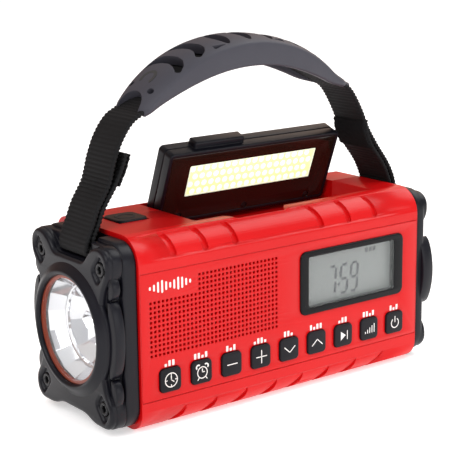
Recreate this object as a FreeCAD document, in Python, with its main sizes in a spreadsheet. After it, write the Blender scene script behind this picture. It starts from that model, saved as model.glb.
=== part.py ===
import FreeCAD, Part
import math
import os
import Sketcher
from FreeCAD import Placement, Rotation, Vector

# Emergency radio, millimetres. X runs along the radio, Y from its front to its back, Z up.
# The origin is on the floor under the middle of the body.

os.makedirs("parts", exist_ok=True)
doc = FreeCAD.newDocument("EmergencyRadio")

# ---------------------------------------------------------------- driving dimensions
DIMS = {
    # body
    "body_long": 144, "body_deep": 58.8, "body_high": 76.4, "wall": 2.4, "front_wall": 3.6,
    "top_front_round": 11, "top_rear_round": 7, "bottom_round": 8.5, "seam_y": 8, "gap": 0.3,
    # front panel, grille, display and keys
    "panel_low": 12, "panel_top": 63, "panel_thick": 2, "panel_half": 71.2,
    "grille_left": -66.5, "grille_low": 30.5, "grille_pitch": 3.8, "grille_hole": 2,
    "display_left": 6.05, "display_right": 63.35, "display_low": 31.9, "display_top": 58.8,
    "glass_left": 10.5, "glass_right": 58, "glass_low": 34.9, "glass_top": 56.2,
    "key_first": -59, "key_pitch": 14.72, "key_z": 19.5, "key_wide": 9.6, "key_high": 9.5,
    "key_round": 1.8, "key_proud": 1, "key_fit": 0.15,
    "lamp_key_x": -55.4, "lamp_key_y": 4.4, "lamp_key_wide": 14, "lamp_key_deep": 13.5,
    # recess for the light flap, and the flap
    "tray_left": -37, "tray_right": 56, "tray_front": -17, "tray_rear": 22, "tray_floor": 66.5,
    "notch_left": -23.5, "notch_right": 8, "notch_front": -22,
    "flap_left": -35, "flap_right": 54.3, "flap_front": -14.5, "flap_rear": 18.6,
    "flap_low": 67.4, "flap_rim": 1.6, "hinge_y": 16.6, "hinge_z": 72, "hinge_pin_rad": 1.2,
    "flap_open": 69.2, "running": 0.05,
    "window_left": -23.7, "window_right": 42.8, "window_front": -7.8, "window_rear": 6.4,
    # end caps and lamp
    "cap_deep": 8, "plate_deep": 5, "right_deep": 6.2, "right_plate": 1.8,
    "cap_half": 28.5, "cap_low": 1.5, "cap_top": 75, "cap_round": 9,
    "lamp_z": 37.5, "lamp_rad": 21.4, "bezel_rad": 22.4, "rim_rad": 23.6,
    "screw_y": 21.5, "screw_low": 10.9, "screw_top": 65.4, "screw_rad": 1.5, "screw_head": 2.8,
    # handle
    "handle_z": 84, "strap_wide": 20, "strap_thick": 2, "pivot_rad": 10,
    "left_bar": -79.8, "right_bar": 76.4, "bar_z": 70, "bar_rad": 1.2,
    "grip_x": -4, "grip_z": 77, "grip_crown": 69, "grip_half": 14,
    # crank, gears and generator
    "crank_x": 30, "crank_z": 36, "recess_rad": 27.5, "recess_deep": 8, "gear_module": 0.6,
    "gear_gap": 15, "shaft_rad": 2, "crank_reach": 20, "knob_rad": 4,
    # antenna
    "shelf_front": 24.3, "shelf_low": 65, "shelf_left": -60, "shelf_wall": 2.2,
    "antenna_x": -54, "antenna_y": 26.9, "antenna_z": 70.5, "antenna_rad": 2.35, "antenna_tip": 46,
    # ports
    "port_left": -62, "port_right": -38, "port_low": 30, "port_top": 42, "port_deep": 5,
}

sheet = doc.addObject("Spreadsheet::Sheet", "Dims")
for row, (alias, amount) in enumerate(DIMS.items(), start=1):
    sheet.set(f"A{row}", alias)
    sheet.set(f"B{row}", str(amount))
    sheet.setAlias(f"B{row}", alias)
doc.recompute()


class Size:
    """A length worked out from the sheet, as an expression and as its value now."""

    def __init__(self, text, amount):
        self.text = text
        self.amount = amount

    def __add__(self, other):
        return Size(f"({self.text} + {size(other).text})", self.amount + size(other).amount)

    def __sub__(self, other):
        return Size(f"({self.text} - {size(other).text})", self.amount - size(other).amount)

    def __mul__(self, other):
        return Size(f"({self.text} * {size(other).text})", self.amount * size(other).amount)

    def __truediv__(self, other):
        return Size(f"({self.text} / {size(other).text})", self.amount / size(other).amount)

    def __radd__(self, other):
        return size(other) + self

    def __rsub__(self, other):
        return size(other) - self

    def __rmul__(self, other):
        return size(other) * self

    def __neg__(self):
        return size(0) - self

    def __float__(self):
        return float(self.amount)


def size(amount):
    """A Size from a Size or a plain number."""
    if isinstance(amount, Size):
        return amount
    return Size(f"({amount})", amount)


class Sheet:
    """The sheet's cells as Sizes, by alias."""

    def __getattr__(self, alias):
        return Size(f"Dims.{alias}", getattr(sheet, alias))


D = Sheet()
HALF = D.body_long / 2
FRONT = -D.body_deep / 2
REAR = D.body_deep / 2


# ---------------------------------------------------------------- drawing helpers
def bind(item, prop, amount):
    """Binds a property to the sheet."""
    item.setExpression(prop, size(amount).text)


def named(item, label):
    """Gives the finished sub-part its name."""
    item.Label = label
    nodes.append(item)
    return item


nodes = []


def new_body(label):
    return doc.addObject("PartDesign::Body", label + "_body")


def origin_plane(body, role):
    return next(item for item in body.Origin.OriginFeatures if item.Role == role)


def draw_polygon(sketch, corners):
    """Closed polygon whose corners are each tied to the sheet."""
    first = sketch.GeometryCount
    count = len(corners)
    points = [Vector(float(across), float(up), 0) for across, up in corners]
    for k in range(count):
        sketch.addGeometry(Part.LineSegment(points[k], points[(k + 1) % count]))
    for k in range(count):
        after = first + (k + 1) % count
        sketch.addConstraint(Sketcher.Constraint("Coincident", first + k, 2, after, 1))
    for k, (across, up) in enumerate(corners):
        for kind, amount in (("DistanceX", across), ("DistanceY", up)):
            tie = sketch.addConstraint(
                Sketcher.Constraint(kind, -1, 1, first + k, 1, float(amount))
            )
            sketch.setExpression(f"Constraints[{tie}]", size(amount).text)


def draw_circle(sketch, across, up, radius):
    """Circle whose centre and radius are tied to the sheet."""
    centre = Vector(float(across), float(up), 0)
    index = sketch.addGeometry(Part.Circle(centre, Vector(0, 0, 1), float(radius)))
    for kind, amount in (("DistanceX", across), ("DistanceY", up)):
        tie = sketch.addConstraint(Sketcher.Constraint(kind, -1, 1, index, 3, float(amount)))
        sketch.setExpression(f"Constraints[{tie}]", size(amount).text)
    tie = sketch.addConstraint(Sketcher.Constraint("Radius", index, float(radius)))
    sketch.setExpression(f"Constraints[{tie}]", size(radius).text)


def rect(low_across, low_up, high_across, high_up):
    return [
        (low_across, low_up),
        (high_across, low_up),
        (high_across, high_up),
        (low_across, high_up),
    ]


def sketch_on(body, role, outlines, offset=0):
    """Sketch on one of the body's own planes; an outline is a polygon or (across, up, radius)."""
    sketch = body.newObject("Sketcher::SketchObject", body.Name + "_sketch")
    sketch.AttachmentSupport = [(origin_plane(body, role), "")]
    sketch.MapMode = "FlatFace"
    bind(sketch, "AttachmentOffset.Base.z", offset)
    for outline in outlines:
        if isinstance(outline, tuple):
            draw_circle(sketch, *outline)
        else:
            draw_polygon(sketch, outline)
    return sketch


def add_slab(body, role, outlines, low, high):
    """Pad between two planes, low and high along X, Y or Z."""
    facing_back = role == "XZ_Plane"
    offset = -size(high) if facing_back else size(low)
    pad = body.newObject("PartDesign::Pad", body.Name + "_pad")
    pad.Profile = sketch_on(body, role, outlines, offset)
    bind(pad, "Length", size(high) - low)
    return pad


def cut_slab(body, role, outlines, low, high):
    """Pocket between two planes, low and high along X, Y or Z."""
    facing_back = role == "XZ_Plane"
    offset = -size(low) if facing_back else size(high)
    pocket = body.newObject("PartDesign::Pocket", body.Name + "_pocket")
    pocket.Profile = sketch_on(body, role, outlines, offset)
    bind(pocket, "Length", size(high) - low)
    doc.recompute()
    return pocket


def slab(label, role, outlines, low, high):
    """A sub-part that is one pad."""
    body = new_body(label)
    add_slab(body, role, outlines, low, high)
    return named(body, label)


def edges_where(item, test):
    """Names of the straight or round edges whose middle passes the test."""
    doc.recompute()
    found = []
    for index, edge in enumerate(item.Shape.Edges, start=1):
        if test(edge, edge.BoundBox.Center, edge.BoundBox):
            found.append(f"Edge{index}")
    return found


def round_edges(body, radius, test):
    """PartDesign fillet on the edges of the body's tip that pass the test."""
    tip = body.Tip
    names = edges_where(tip, test)
    if not names:
        raise ValueError(f"no edges to round on {body.Label}")
    fillet = body.newObject("PartDesign::Fillet", body.Name + "_fillet")
    fillet.Base = (tip, names)
    bind(fillet, "Radius", radius)
    doc.recompute()
    return fillet


def along(axis, across=None):
    """Test for edges that run along an axis and, if given, pass near a point across it."""

    def test(edge, middle, box):
        spans = (box.XLength, box.YLength, box.ZLength)
        others = [k for k in range(3) if k != axis]
        if spans[axis] < 0.5 or any(spans[k] > 0.01 for k in others):
            return False
        if across is None:
            return True
        return all(abs(middle[k] - float(a)) < 0.05 for k, a in zip(others, across))

    return test


def block(label, low, high):
    """Part::Box between two corners."""
    box = doc.addObject("Part::Box", label)
    for prop, letter, a, b in zip(("Length", "Width", "Height"), "xyz", low, high):
        bind(box, prop, size(b) - a)
        bind(box, f"Placement.Base.{letter}", a)
    return box


TURNS = {
    "x": Rotation(Vector(0, 1, 0), 90),
    "y": Rotation(Vector(1, 0, 0), -90),
    "z": Rotation(),
}


def rod(label, axis, radius, start, length):
    """Part::Cylinder from a start point along an axis."""
    cylinder = doc.addObject("Part::Cylinder", label)
    cylinder.Placement = Placement(Vector(), TURNS[axis])
    bind(cylinder, "Radius", radius)
    bind(cylinder, "Height", length)
    for letter, amount in zip("xyz", start):
        bind(cylinder, f"Placement.Base.{letter}", amount)
    return cylinder


def joined(label, items):
    fuse = doc.addObject("Part::MultiFuse", label)
    fuse.Shapes = items
    return fuse


def grouped(label, items):
    """Several separate solids in one sub-part."""
    group = doc.addObject("Part::Compound", label)
    group.Links = items
    return group


def cut_from(label, base, *tools):
    cut = doc.addObject("Part::Cut", label)
    cut.Base = base
    cut.Tool = tools[0] if len(tools) == 1 else joined(label + "_tools", list(tools))
    return cut


def solid_feature(label, shape):
    """A sub-part whose shape comes from Part's own functions."""
    item = doc.addObject("Part::Feature", label)
    item.Shape = shape
    return item


# ---------------------------------------------------------------- red housing
def housing_block(label):
    """The whole housing's outside, rounded along its four long edges."""
    body = new_body(label)
    add_slab(body, "YZ_Plane", [rect(FRONT, 0, REAR, D.body_high)], -HALF, HALF)
    corners = (
        (D.top_front_round, (FRONT, D.body_high)),
        (D.top_rear_round, (REAR, D.body_high)),
        (D.bottom_round, (FRONT, 0)),
        (D.bottom_round, (REAR, 0)),
    )
    for radius, corner in corners:
        round_edges(body, radius, along(0, corner))
    return body


def hollow(body):
    """The cavity, with corners that follow the outside."""
    inner_front = FRONT + D.front_wall
    inner_rear = REAR - D.wall
    top = D.body_high - D.wall
    inner_half = HALF - D.wall
    cut_slab(
        body,
        "YZ_Plane",
        [
            [
                (inner_front, D.wall + 5),
                (inner_front + 4, D.wall),
                (inner_rear - 6, D.wall),
                (inner_rear, D.wall + 6),
                (inner_rear, top - 5),
                (inner_rear - 5, top),
                (inner_front + 8, top),
                (inner_front, top - 9),
            ]
        ],
        -inner_half,
        inner_half,
    )


def tray(body):
    """The open recess on top that the light flap folds into."""
    tray_wall = 2
    add_slab(
        body,
        "XY_Plane",
        [
            rect(
                D.tray_left - tray_wall,
                D.notch_front - tray_wall,
                D.tray_right + tray_wall,
                D.shelf_front,
            )
        ],
        D.tray_floor - tray_wall,
        D.body_high - 2.2,
    )
    cut_slab(
        body,
        "XY_Plane",
        [rect(D.tray_left, D.tray_front, D.tray_right, D.tray_rear)],
        D.tray_floor,
        D.body_high + 1,
    )
    cut_slab(
        body,
        "XY_Plane",
        [
            [
                (D.notch_left, D.tray_front + 0.5),
                (D.notch_left + 3.5, D.notch_front),
                (D.notch_right - 3.5, D.notch_front),
                (D.notch_right, D.tray_front + 0.5),
            ]
        ],
        D.body_high - 8,
        D.body_high + 1,
    )


def lamp_key_hole(body):
    half_wide = D.lamp_key_wide / 2 + D.key_fit
    half_deep = D.lamp_key_deep / 2 + D.key_fit
    cut_slab(
        body,
        "XY_Plane",
        [
            rect(
                D.lamp_key_x - half_wide,
                D.lamp_key_y - half_deep,
                D.lamp_key_x + half_wide,
                D.lamp_key_y + half_deep,
            )
        ],
        D.body_high - 4,
        D.body_high + 1,
    )


def end_holes(body):
    """The lamp's opening in the left end and the cap screws' holes in both ends."""
    cut_slab(
        body, "YZ_Plane", [(0, D.lamp_z, D.bezel_rad)], -HALF - 1, -HALF + D.wall + 1
    )
    spots = [
        (side * D.screw_y, height, D.screw_rad)
        for side in (-1, 1)
        for height in (D.screw_low, D.screw_top)
    ]
    for low in (-HALF - 1, HALF - D.wall - 2):
        cut_slab(body, "YZ_Plane", spots, low, low + D.wall + 3)


def front_shell():
    body = housing_block("front_shell")
    hollow(body)
    tray(body)
    lamp_key_hole(body)
    end_holes(body)
    side = D.panel_half + D.gap
    cut_slab(
        body,
        "XZ_Plane",
        [rect(-side, D.panel_low, side, D.panel_top)],
        FRONT - 1,
        FRONT + D.panel_thick,
    )
    cut_slab(
        body,
        "XZ_Plane",
        [rect(-side + 3.5, D.panel_low + 1.5, side - 3.5, D.panel_top - 1.5)],
        FRONT - 1,
        FRONT + D.front_wall + 1,
    )
    cut_slab(
        body,
        "XZ_Plane",
        [rect(-HALF - 1, -1, HALF + 1, D.body_high + 1)],
        D.seam_y,
        REAR + 1,
    )
    return named(body, "front_shell")


def rear_shell():
    body = housing_block("rear_shell")
    hollow(body)
    tray(body)
    add_slab(
        body,
        "XY_Plane",
        [
            rect(
                D.shelf_left - D.shelf_wall,
                D.shelf_front - D.shelf_wall,
                HALF - 1,
                REAR - 3,
            )
        ],
        D.shelf_low - D.shelf_wall,
        D.body_high - 2,
    )
    cut_slab(
        body,
        "XY_Plane",
        [rect(D.shelf_left, D.shelf_front, HALF + 1, REAR + 1)],
        D.shelf_low,
        D.body_high + 1,
    )
    lamp_key_hole(body)
    add_slab(
        body,
        "XZ_Plane",
        [(D.crank_x, D.crank_z, D.recess_rad + 1.8)],
        REAR - D.recess_deep - 2,
        REAR - 1,
    )
    cut_slab(
        body,
        "XZ_Plane",
        [(D.crank_x, D.crank_z, D.recess_rad)],
        REAR - D.recess_deep,
        REAR + 1,
    )
    cut_slab(
        body,
        "XZ_Plane",
        [(D.crank_x, D.crank_z, D.shaft_rad + D.running)],
        REAR - D.recess_deep - 3,
        REAR,
    )
    port_box = rect(D.port_left, D.port_low, D.port_right, D.port_top)
    add_slab(
        body,
        "XZ_Plane",
        [rect(D.port_left - 2, D.port_low - 2, D.port_right + 2, D.port_top + 2)],
        REAR - D.port_deep - 2,
        REAR - 1,
    )
    cut_slab(body, "XZ_Plane", [port_box], REAR - D.port_deep, REAR + 1)
    cut_slab(
        body,
        "XZ_Plane",
        [big_port_outline(), small_port_outline()],
        REAR - D.port_deep - 3,
        REAR - D.port_deep + 1,
    )
    add_slab(
        body,
        "XZ_Plane",
        [(across, up, 3.6) for across, up in REAR_SCREWS],
        D.seam_y + D.gap,
        REAR - 1,
    )
    cut_slab(
        body,
        "XZ_Plane",
        [(across, up, 1.4) for across, up in REAR_SCREWS],
        D.seam_y,
        REAR + 1,
    )
    cut_slab(
        body,
        "XZ_Plane",
        [(across, up, 2.8) for across, up in REAR_SCREWS],
        REAR - 2.4,
        REAR + 1,
    )
    cut_slab(
        body,
        "XZ_Plane",
        [rect(-HALF - 1, -1, HALF + 1, D.body_high + 1)],
        FRONT - 1,
        D.seam_y,
    )
    end_holes(body)
    return named(body, "rear_shell")


REAR_SCREWS = [(-66.6, 12), (66.6, 12), (-66.6, 56), (66.6, 56)]


def big_port_outline():
    return rect(D.port_left + 1.5, D.port_low + 2.5, D.port_left + 15.5, D.port_low + 9.5)


def small_port_outline():
    return rect(D.port_right - 7, D.port_low + 4, D.port_right - 1, D.port_low + 7.4)


def ports():
    """A large and a small charging socket."""
    big = block(
        "big_port_shell",
        (D.port_left + 1.5, 12, D.port_low + 2.5),
        (D.port_left + 15.5, REAR - D.port_deep, D.port_low + 9.5),
    )
    big_mouth = block(
        "big_port_mouth",
        (D.port_left + 2.2, 14, D.port_low + 3.2),
        (D.port_left + 14.8, REAR, D.port_low + 8.8),
    )
    small = block(
        "small_port_shell",
        (D.port_right - 7, 16, D.port_low + 4),
        (D.port_right - 1, REAR - D.port_deep, D.port_low + 7.4),
    )
    small_mouth = block(
        "small_port_mouth",
        (D.port_right - 6.6, 18, D.port_low + 4.4),
        (D.port_right - 1.4, REAR, D.port_low + 7),
    )
    pair = [cut_from("big_port", big, big_mouth), cut_from("small_port", small, small_mouth)]
    named(grouped("ports", pair), "ports")


def port_cover():
    """Rubber flap over the sockets, hinged along its lower edge."""
    play = 0.3
    plate = block(
        "port_cover_plate",
        (D.port_left + play, REAR - 2, D.port_low + 0.9),
        (D.port_right - play, REAR, D.port_top - play),
    )
    plug = block(
        "port_cover_plug",
        (D.port_left + 4, REAR - 3.5, D.port_low + 5),
        (D.port_left + 13, REAR - 2, D.port_low + 7.5),
    )
    lip = rod(
        "port_cover_roll",
        "x",
        0.9,
        (D.port_left + play, REAR - 1.1, D.port_low + 1.2),
        D.port_right - D.port_left - 2 * play,
    )
    named(joined("port_cover", [plate, plug, lip]), "port_cover")


# ---------------------------------------------------------------- front panel, display, keys
KEY_NAMES = [
    "time",
    "alarm",
    "volume_down",
    "volume_up",
    "tune_down",
    "tune_up",
    "scan",
    "band",
    "power",
]


def key_centre(index):
    return D.key_first + D.key_pitch * index


def key_outline(index, spare=0):
    centre = key_centre(index)
    half_wide = D.key_wide / 2 + spare
    half_high = D.key_high / 2 + spare
    return rect(
        centre - half_wide, D.key_z - half_high, centre + half_wide, D.key_z + half_high
    )


def front_panel():
    body = new_body("front_panel")
    back = FRONT + D.panel_thick
    outline = rect(
        -D.panel_half, D.panel_low + D.gap, D.panel_half, D.panel_top - D.gap
    )
    add_slab(body, "XZ_Plane", [outline], FRONT, back)
    cut_slab(
        body,
        "XZ_Plane",
        [rect(D.display_left, D.display_low, D.display_right, D.display_top)],
        FRONT - 1,
        back + 1,
    )
    for index in range(len(KEY_NAMES)):
        cut_slab(
            body, "XZ_Plane", [key_outline(index, D.key_fit)], FRONT - 1, back + 1
        )
    grille_field(body, D.grille_left, 17, 6)
    grille_field(body, D.grille_left + 6 * D.grille_pitch, 11, 8)
    return named(body, "front_panel")


def grille_field(body, left, columns, rows):
    """A rectangle of square holes in the panel, from the grille's lowest row up."""
    hole = cut_slab(
        body,
        "XZ_Plane",
        [rect(left, D.grille_low, left + D.grille_hole, D.grille_low + D.grille_hole)],
        FRONT - 1,
        FRONT + D.panel_thick + 1,
    )
    field = body.newObject("PartDesign::MultiTransform", body.Name + "_grille")
    field.Originals = [hole]
    steps = []
    for role, count in (("X_Axis", columns), ("Z_Axis", rows)):
        step = doc.addObject("PartDesign::LinearPattern", body.Name + "_row")
        step.Direction = (origin_plane(body, role), [""])
        bind(step, "Length", D.grille_pitch * (count - 1))
        step.Occurrences = count
        steps.append(step)
    field.Transformations = steps
    body.Tip = field
    doc.recompute()


def display():
    bezel = new_body("display_bezel")
    outside = rect(
        D.display_left + 0.05, D.display_low + 0.05, D.display_right - 0.05, D.display_top - 0.05
    )
    add_slab(bezel, "XZ_Plane", [outside], FRONT - 0.7, FRONT + 2.4)
    round_edges(bezel, 2.6, along(1))
    cut_slab(
        bezel,
        "XZ_Plane",
        [rect(D.glass_left, D.glass_low, D.glass_right, D.glass_top)],
        FRONT - 1,
        FRONT + 3,
    )
    named(bezel, "display_bezel")
    slab(
        "display_window",
        "XZ_Plane",
        [rect(D.glass_left, D.glass_low, D.glass_right, D.glass_top)],
        FRONT - 0.5,
        FRONT + 0.7,
    )
    module = block(
        "display_glass",
        (D.display_left + 2, FRONT + 2.5, D.display_low + 1),
        (D.display_right - 2, FRONT + 5.5, D.display_top - 1),
    )
    named(module, "display_module")


def key(index):
    """Front key: cap, retaining flange behind the panel and a stem to its switch."""
    label = "button_" + KEY_NAMES[index]
    body = new_body(label)
    back = FRONT + D.panel_thick
    add_slab(body, "XZ_Plane", [key_outline(index)], FRONT - D.key_proud, back + 0.1)
    round_edges(body, D.key_round, along(1))
    front = FRONT - D.key_proud
    at_front = lambda edge, middle, box: abs(box.YMax - float(front)) < 0.01
    round_edges(body, 0.4, at_front)
    add_slab(body, "XZ_Plane", [key_outline(index, 0.6)], back + 0.1, back + 0.9)
    centre = key_centre(index)
    stem = rect(centre - 1.5, D.key_z - 1.5, centre + 1.5, D.key_z + 1.5)
    add_slab(body, "XZ_Plane", [stem], back + 0.9, back + 1.7)
    return named(body, label)


def lamp_key():
    """Top key for the lamp: cap and retaining flange under the top wall."""
    label = "button_lamp"
    body = new_body(label)
    half_wide = D.lamp_key_wide / 2
    half_deep = D.lamp_key_deep / 2

    def outline(spare):
        return rect(
            D.lamp_key_x - half_wide - spare,
            D.lamp_key_y - half_deep - spare,
            D.lamp_key_x + half_wide + spare,
            D.lamp_key_y + half_deep + spare,
        )

    low = D.body_high - D.wall - 0.1
    add_slab(body, "XY_Plane", [outline(0)], low, D.body_high + 0.8)
    round_edges(body, 3, along(2))
    top = D.body_high + 0.8
    at_top = lambda edge, middle, box: abs(box.ZMin - float(top)) < 0.01
    round_edges(body, 0.35, at_top)
    add_slab(body, "XY_Plane", [outline(0.8)], low - 0.9, low)
    return named(body, label)


# ---------------------------------------------------------------- electronics
BOARD_FRONT = FRONT + 7.4


def main_board():
    """L-shaped board behind the display and the keys."""
    corners = [
        (-67, 5),
        (67, 5),
        (67, 61.5),
        (4, 61.5),
        (4, 26),
        (-67, 26),
    ]
    slab("main_board", "XZ_Plane", [corners], BOARD_FRONT, BOARD_FRONT + 1.6)


def key_switches():
    """One small switch under every key."""
    items = []
    for index, name in enumerate(KEY_NAMES):
        centre = key_centre(index)
        items.append(
            block(
                "switch_" + name,
                (centre - 3, BOARD_FRONT - 2.6, D.key_z - 3),
                (centre + 3, BOARD_FRONT, D.key_z + 3),
            )
        )
    top = D.body_high - D.wall - 2
    items.append(
        block(
            "switch_lamp",
            (D.lamp_key_x - 3, D.lamp_key_y - 3, top - 3.4),
            (D.lamp_key_x + 3, D.lamp_key_y + 3, top - 0.2),
        )
    )
    named(grouped("key_switches", items), "key_switches")


def speaker():
    """Round speaker behind the grille: basket, cone and magnet."""
    across, up, radius = -36, 44, 17
    front = FRONT + D.panel_thick
    basket = rod("speaker_basket", "y", radius, (across, front, up), 7)
    hollow_rod = rod("speaker_hollow", "y", radius - 1.4, (across, front - 1, up), 6.6)
    port = rod("speaker_throat", "y", 6, (across, front, up), 8)
    named(cut_from("speaker_frame", basket, hollow_rod, port), "speaker_frame")
    cone = doc.addObject("Part::Cone", "speaker_cone")
    cone.Placement = Placement(Vector(), TURNS["y"])
    bind(cone, "Radius1", radius - 1.6)
    bind(cone, "Radius2", 5.8)
    bind(cone, "Height", 4.6)
    for letter, amount in zip("xyz", (across, front + 0.8, up)):
        bind(cone, f"Placement.Base.{letter}", amount)
    named(cone, "speaker_cone")
    magnet = rod("speaker_magnet", "y", 9, (across, front + 7, up), 5)
    named(magnet, "speaker_magnet")


def battery():
    """Two cells side by side in a tray."""
    cell_rad = 9.2
    left = -60
    floor = D.wall + 0.8
    cells = []
    for name, middle in (("front", -8.6), ("rear", 10)):
        can = rod(f"cell_{name}", "x", cell_rad, (left, middle, floor + cell_rad), 64.6)
        cap = rod(f"cell_{name}_cap", "x", 3, (left + 64.6, middle, floor + cell_rad), 0.8)
        cells.append(joined(f"cell_{name}_whole", [can, cap]))
    named(grouped("battery_cells", cells), "battery_cells")
    outer = block("holder_outer", (left - 1.6, -18, D.wall), (left + 67, 19.4, D.wall + 8))
    inner = block(
        "holder_inner", (left, -17.8, D.wall + 0.8), (left + 65.4, 19.2, D.wall + 9)
    )
    named(cut_from("battery_holder", outer, inner), "battery_holder")


# ---------------------------------------------------------------- crank, gears, generator
PRESSURE_ANGLE = math.radians(28)
ADDENDUM = 0.8


def gear_face(teeth, turn):
    """Wire of a spur gear: involute flanks with a little backlash, by formula."""
    module = float(D.gear_module)
    pitch = teeth * module / 2
    base = pitch * math.cos(PRESSURE_ANGLE)
    tip = pitch + ADDENDUM * module
    root = pitch - (ADDENDUM + 0.25) * module
    backlash = 0.06
    half_tooth = math.pi / (2 * teeth) - backlash / pitch

    def involute(radius):
        angle = math.acos(min(1.0, base / radius))
        return math.tan(angle) - angle

    start = max(base, root)
    radii = [start + (tip - start) * step / 5 for step in range(6)]
    flank = [(r, half_tooth + involute(pitch) - involute(r)) for r in radii]
    if root < base:
        flank.insert(0, (root, flank[0][1]))
    points = []
    for tooth in range(teeth):
        middle = turn + 2 * math.pi * tooth / teeth
        for radius, half in flank:
            points.append((radius, middle - half))
        for radius, half in reversed(flank):
            points.append((radius, middle + half))
    return points


def gear(teeth, centre_x, low_y, high_y, bore, turn=0.0):
    """Spur gear with its axis along Y."""
    centre_z = float(D.crank_z)
    points = [
        Vector(centre_x + r * math.cos(a), low_y, centre_z + r * math.sin(a))
        for r, a in gear_face(teeth, turn)
    ]
    wire = Part.makePolygon(points + [points[0]])
    blank = Part.Face(wire).extrude(Vector(0, high_y - low_y, 0))
    if bore <= 0:
        return blank
    hole = Part.makeCylinder(
        bore, high_y - low_y + 2, Vector(centre_x, low_y - 1, centre_z), Vector(0, 1, 0)
    )
    return blank.cut(hole)


BIG_TEETH = 40
SMALL_TEETH = 10
HALF_PITCH = math.pi / SMALL_TEETH
REAR_LAYER = (15.4, 18.4)
FRONT_LAYER = (11.6, 14.6)
PLATE = (8.6, 10.6)


def crank_train():
    """Drive gear on the crank's shaft, idler pair and the generator's pinion."""
    crank_x = float(D.crank_x)
    shift = float(D.gear_gap)
    shaft = float(D.shaft_rad)
    named(
        solid_feature("drive_gear", gear(BIG_TEETH, crank_x, *REAR_LAYER, shaft)), "drive_gear"
    )
    height = float(D.crank_z)
    idler_x = crank_x - shift
    wheel = gear(BIG_TEETH, idler_x, *FRONT_LAYER, 0)
    pinion = gear(SMALL_TEETH, idler_x, FRONT_LAYER[1], REAR_LAYER[1], 0, HALF_PITCH)
    stub = Part.makeCylinder(
        1.2, FRONT_LAYER[0] - PLATE[0], Vector(idler_x, PLATE[0], height), Vector(0, 1, 0)
    )
    named(solid_feature("idler_gear", wheel.fuse(pinion).fuse(stub)), "idler_gear")
    motor_x = idler_x - shift
    small = gear(SMALL_TEETH, motor_x, *FRONT_LAYER, 0, HALF_PITCH)
    axle = Part.makeCylinder(
        1.2, FRONT_LAYER[0] - PLATE[0] + 2, Vector(motor_x, PLATE[0] - 2, height), Vector(0, 1, 0)
    )
    named(solid_feature("generator_pinion", small.fuse(axle)), "generator_pinion")


def crank_shaft():
    """Shaft from the gear plate out through the rear wall."""
    named(
        rod(
            "crank_shaft",
            "y",
            D.shaft_rad,
            (D.crank_x, PLATE[0] + 0.3, D.crank_z),
            REAR - 2.4 - (PLATE[0] + 0.3),
        ),
        "crank_shaft",
    )


def gear_plate():
    """Plate that carries the train, hung on the rear wall by posts."""
    body = new_body("gear_plate")
    add_slab(
        body, "XZ_Plane", [rect(-14, D.crank_z - 13, 46, D.crank_z + 13)], PLATE[0], PLATE[1]
    )
    idler_x = D.crank_x - D.gear_gap
    motor_x = idler_x - D.gear_gap
    cut_slab(
        body,
        "XZ_Plane",
        [
            (D.crank_x, D.crank_z, D.shaft_rad + D.running),
            (idler_x, D.crank_z, 1.2 + D.running),
            (motor_x, D.crank_z, 1.2 + D.running),
        ],
        PLATE[0] - 1,
        PLATE[1] + 1,
    )
    posts = [(44, D.crank_z - 11, 1.6), (44, D.crank_z + 11, 1.6), (15, D.crank_z + 15.5, 1.6)]
    ear = [
        (12.5, D.crank_z + 12),
        (17.5, D.crank_z + 12),
        (17.5, D.crank_z + 17.5),
        (12.5, D.crank_z + 17.5),
    ]
    add_slab(body, "XZ_Plane", [ear], PLATE[0], PLATE[1])
    add_slab(body, "XZ_Plane", posts, PLATE[1], REAR - D.recess_deep - 2)
    return named(body, "gear_plate")


def generator():
    """Round generator in front of the plate."""
    motor_x = D.crank_x - 2 * D.gear_gap
    can = rod("generator_can", "y", 11.8, (motor_x, PLATE[0] - 18, D.crank_z), 18)
    bore = rod("generator_bore", "y", 1.2 + D.running, (motor_x, PLATE[0] - 3, D.crank_z), 4)
    named(cut_from("generator", can, bore), "generator")


def crank():
    """Crank arm in its round recess: a hub and a fork that the knob folds into."""
    body = new_body("crank_arm")
    back = REAR - D.recess_deep + 0.5
    front = REAR - 0.2
    half = D.knob_rad + 3.6
    tip = D.crank_z - D.crank_reach - 5
    add_slab(body, "XZ_Plane", [(D.crank_x, D.crank_z, 10)], back, front)
    add_slab(
        body,
        "XZ_Plane",
        [rect(D.crank_x - half, tip, D.crank_x + half, D.crank_z)],
        back,
        front,
    )
    slot = D.knob_rad + 0.5
    cut_slab(
        body,
        "XZ_Plane",
        [rect(D.crank_x - slot, tip - 1, D.crank_x + slot, D.crank_z - 3)],
        back - 1,
        front + 1,
    )
    cut_slab(
        body, "XZ_Plane", [(D.crank_x, D.crank_z, D.shaft_rad)], back - 1, REAR - 2.4
    )
    cut_slab(
        body,
        "YZ_Plane",
        [(KNOB_Y, D.crank_z - D.crank_reach, 1 + D.running)],
        D.crank_x - half + 1.4,
        D.crank_x + half - 1.4,
    )
    return named(body, "crank_arm")


KNOB_Y = REAR - 3.2


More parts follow.
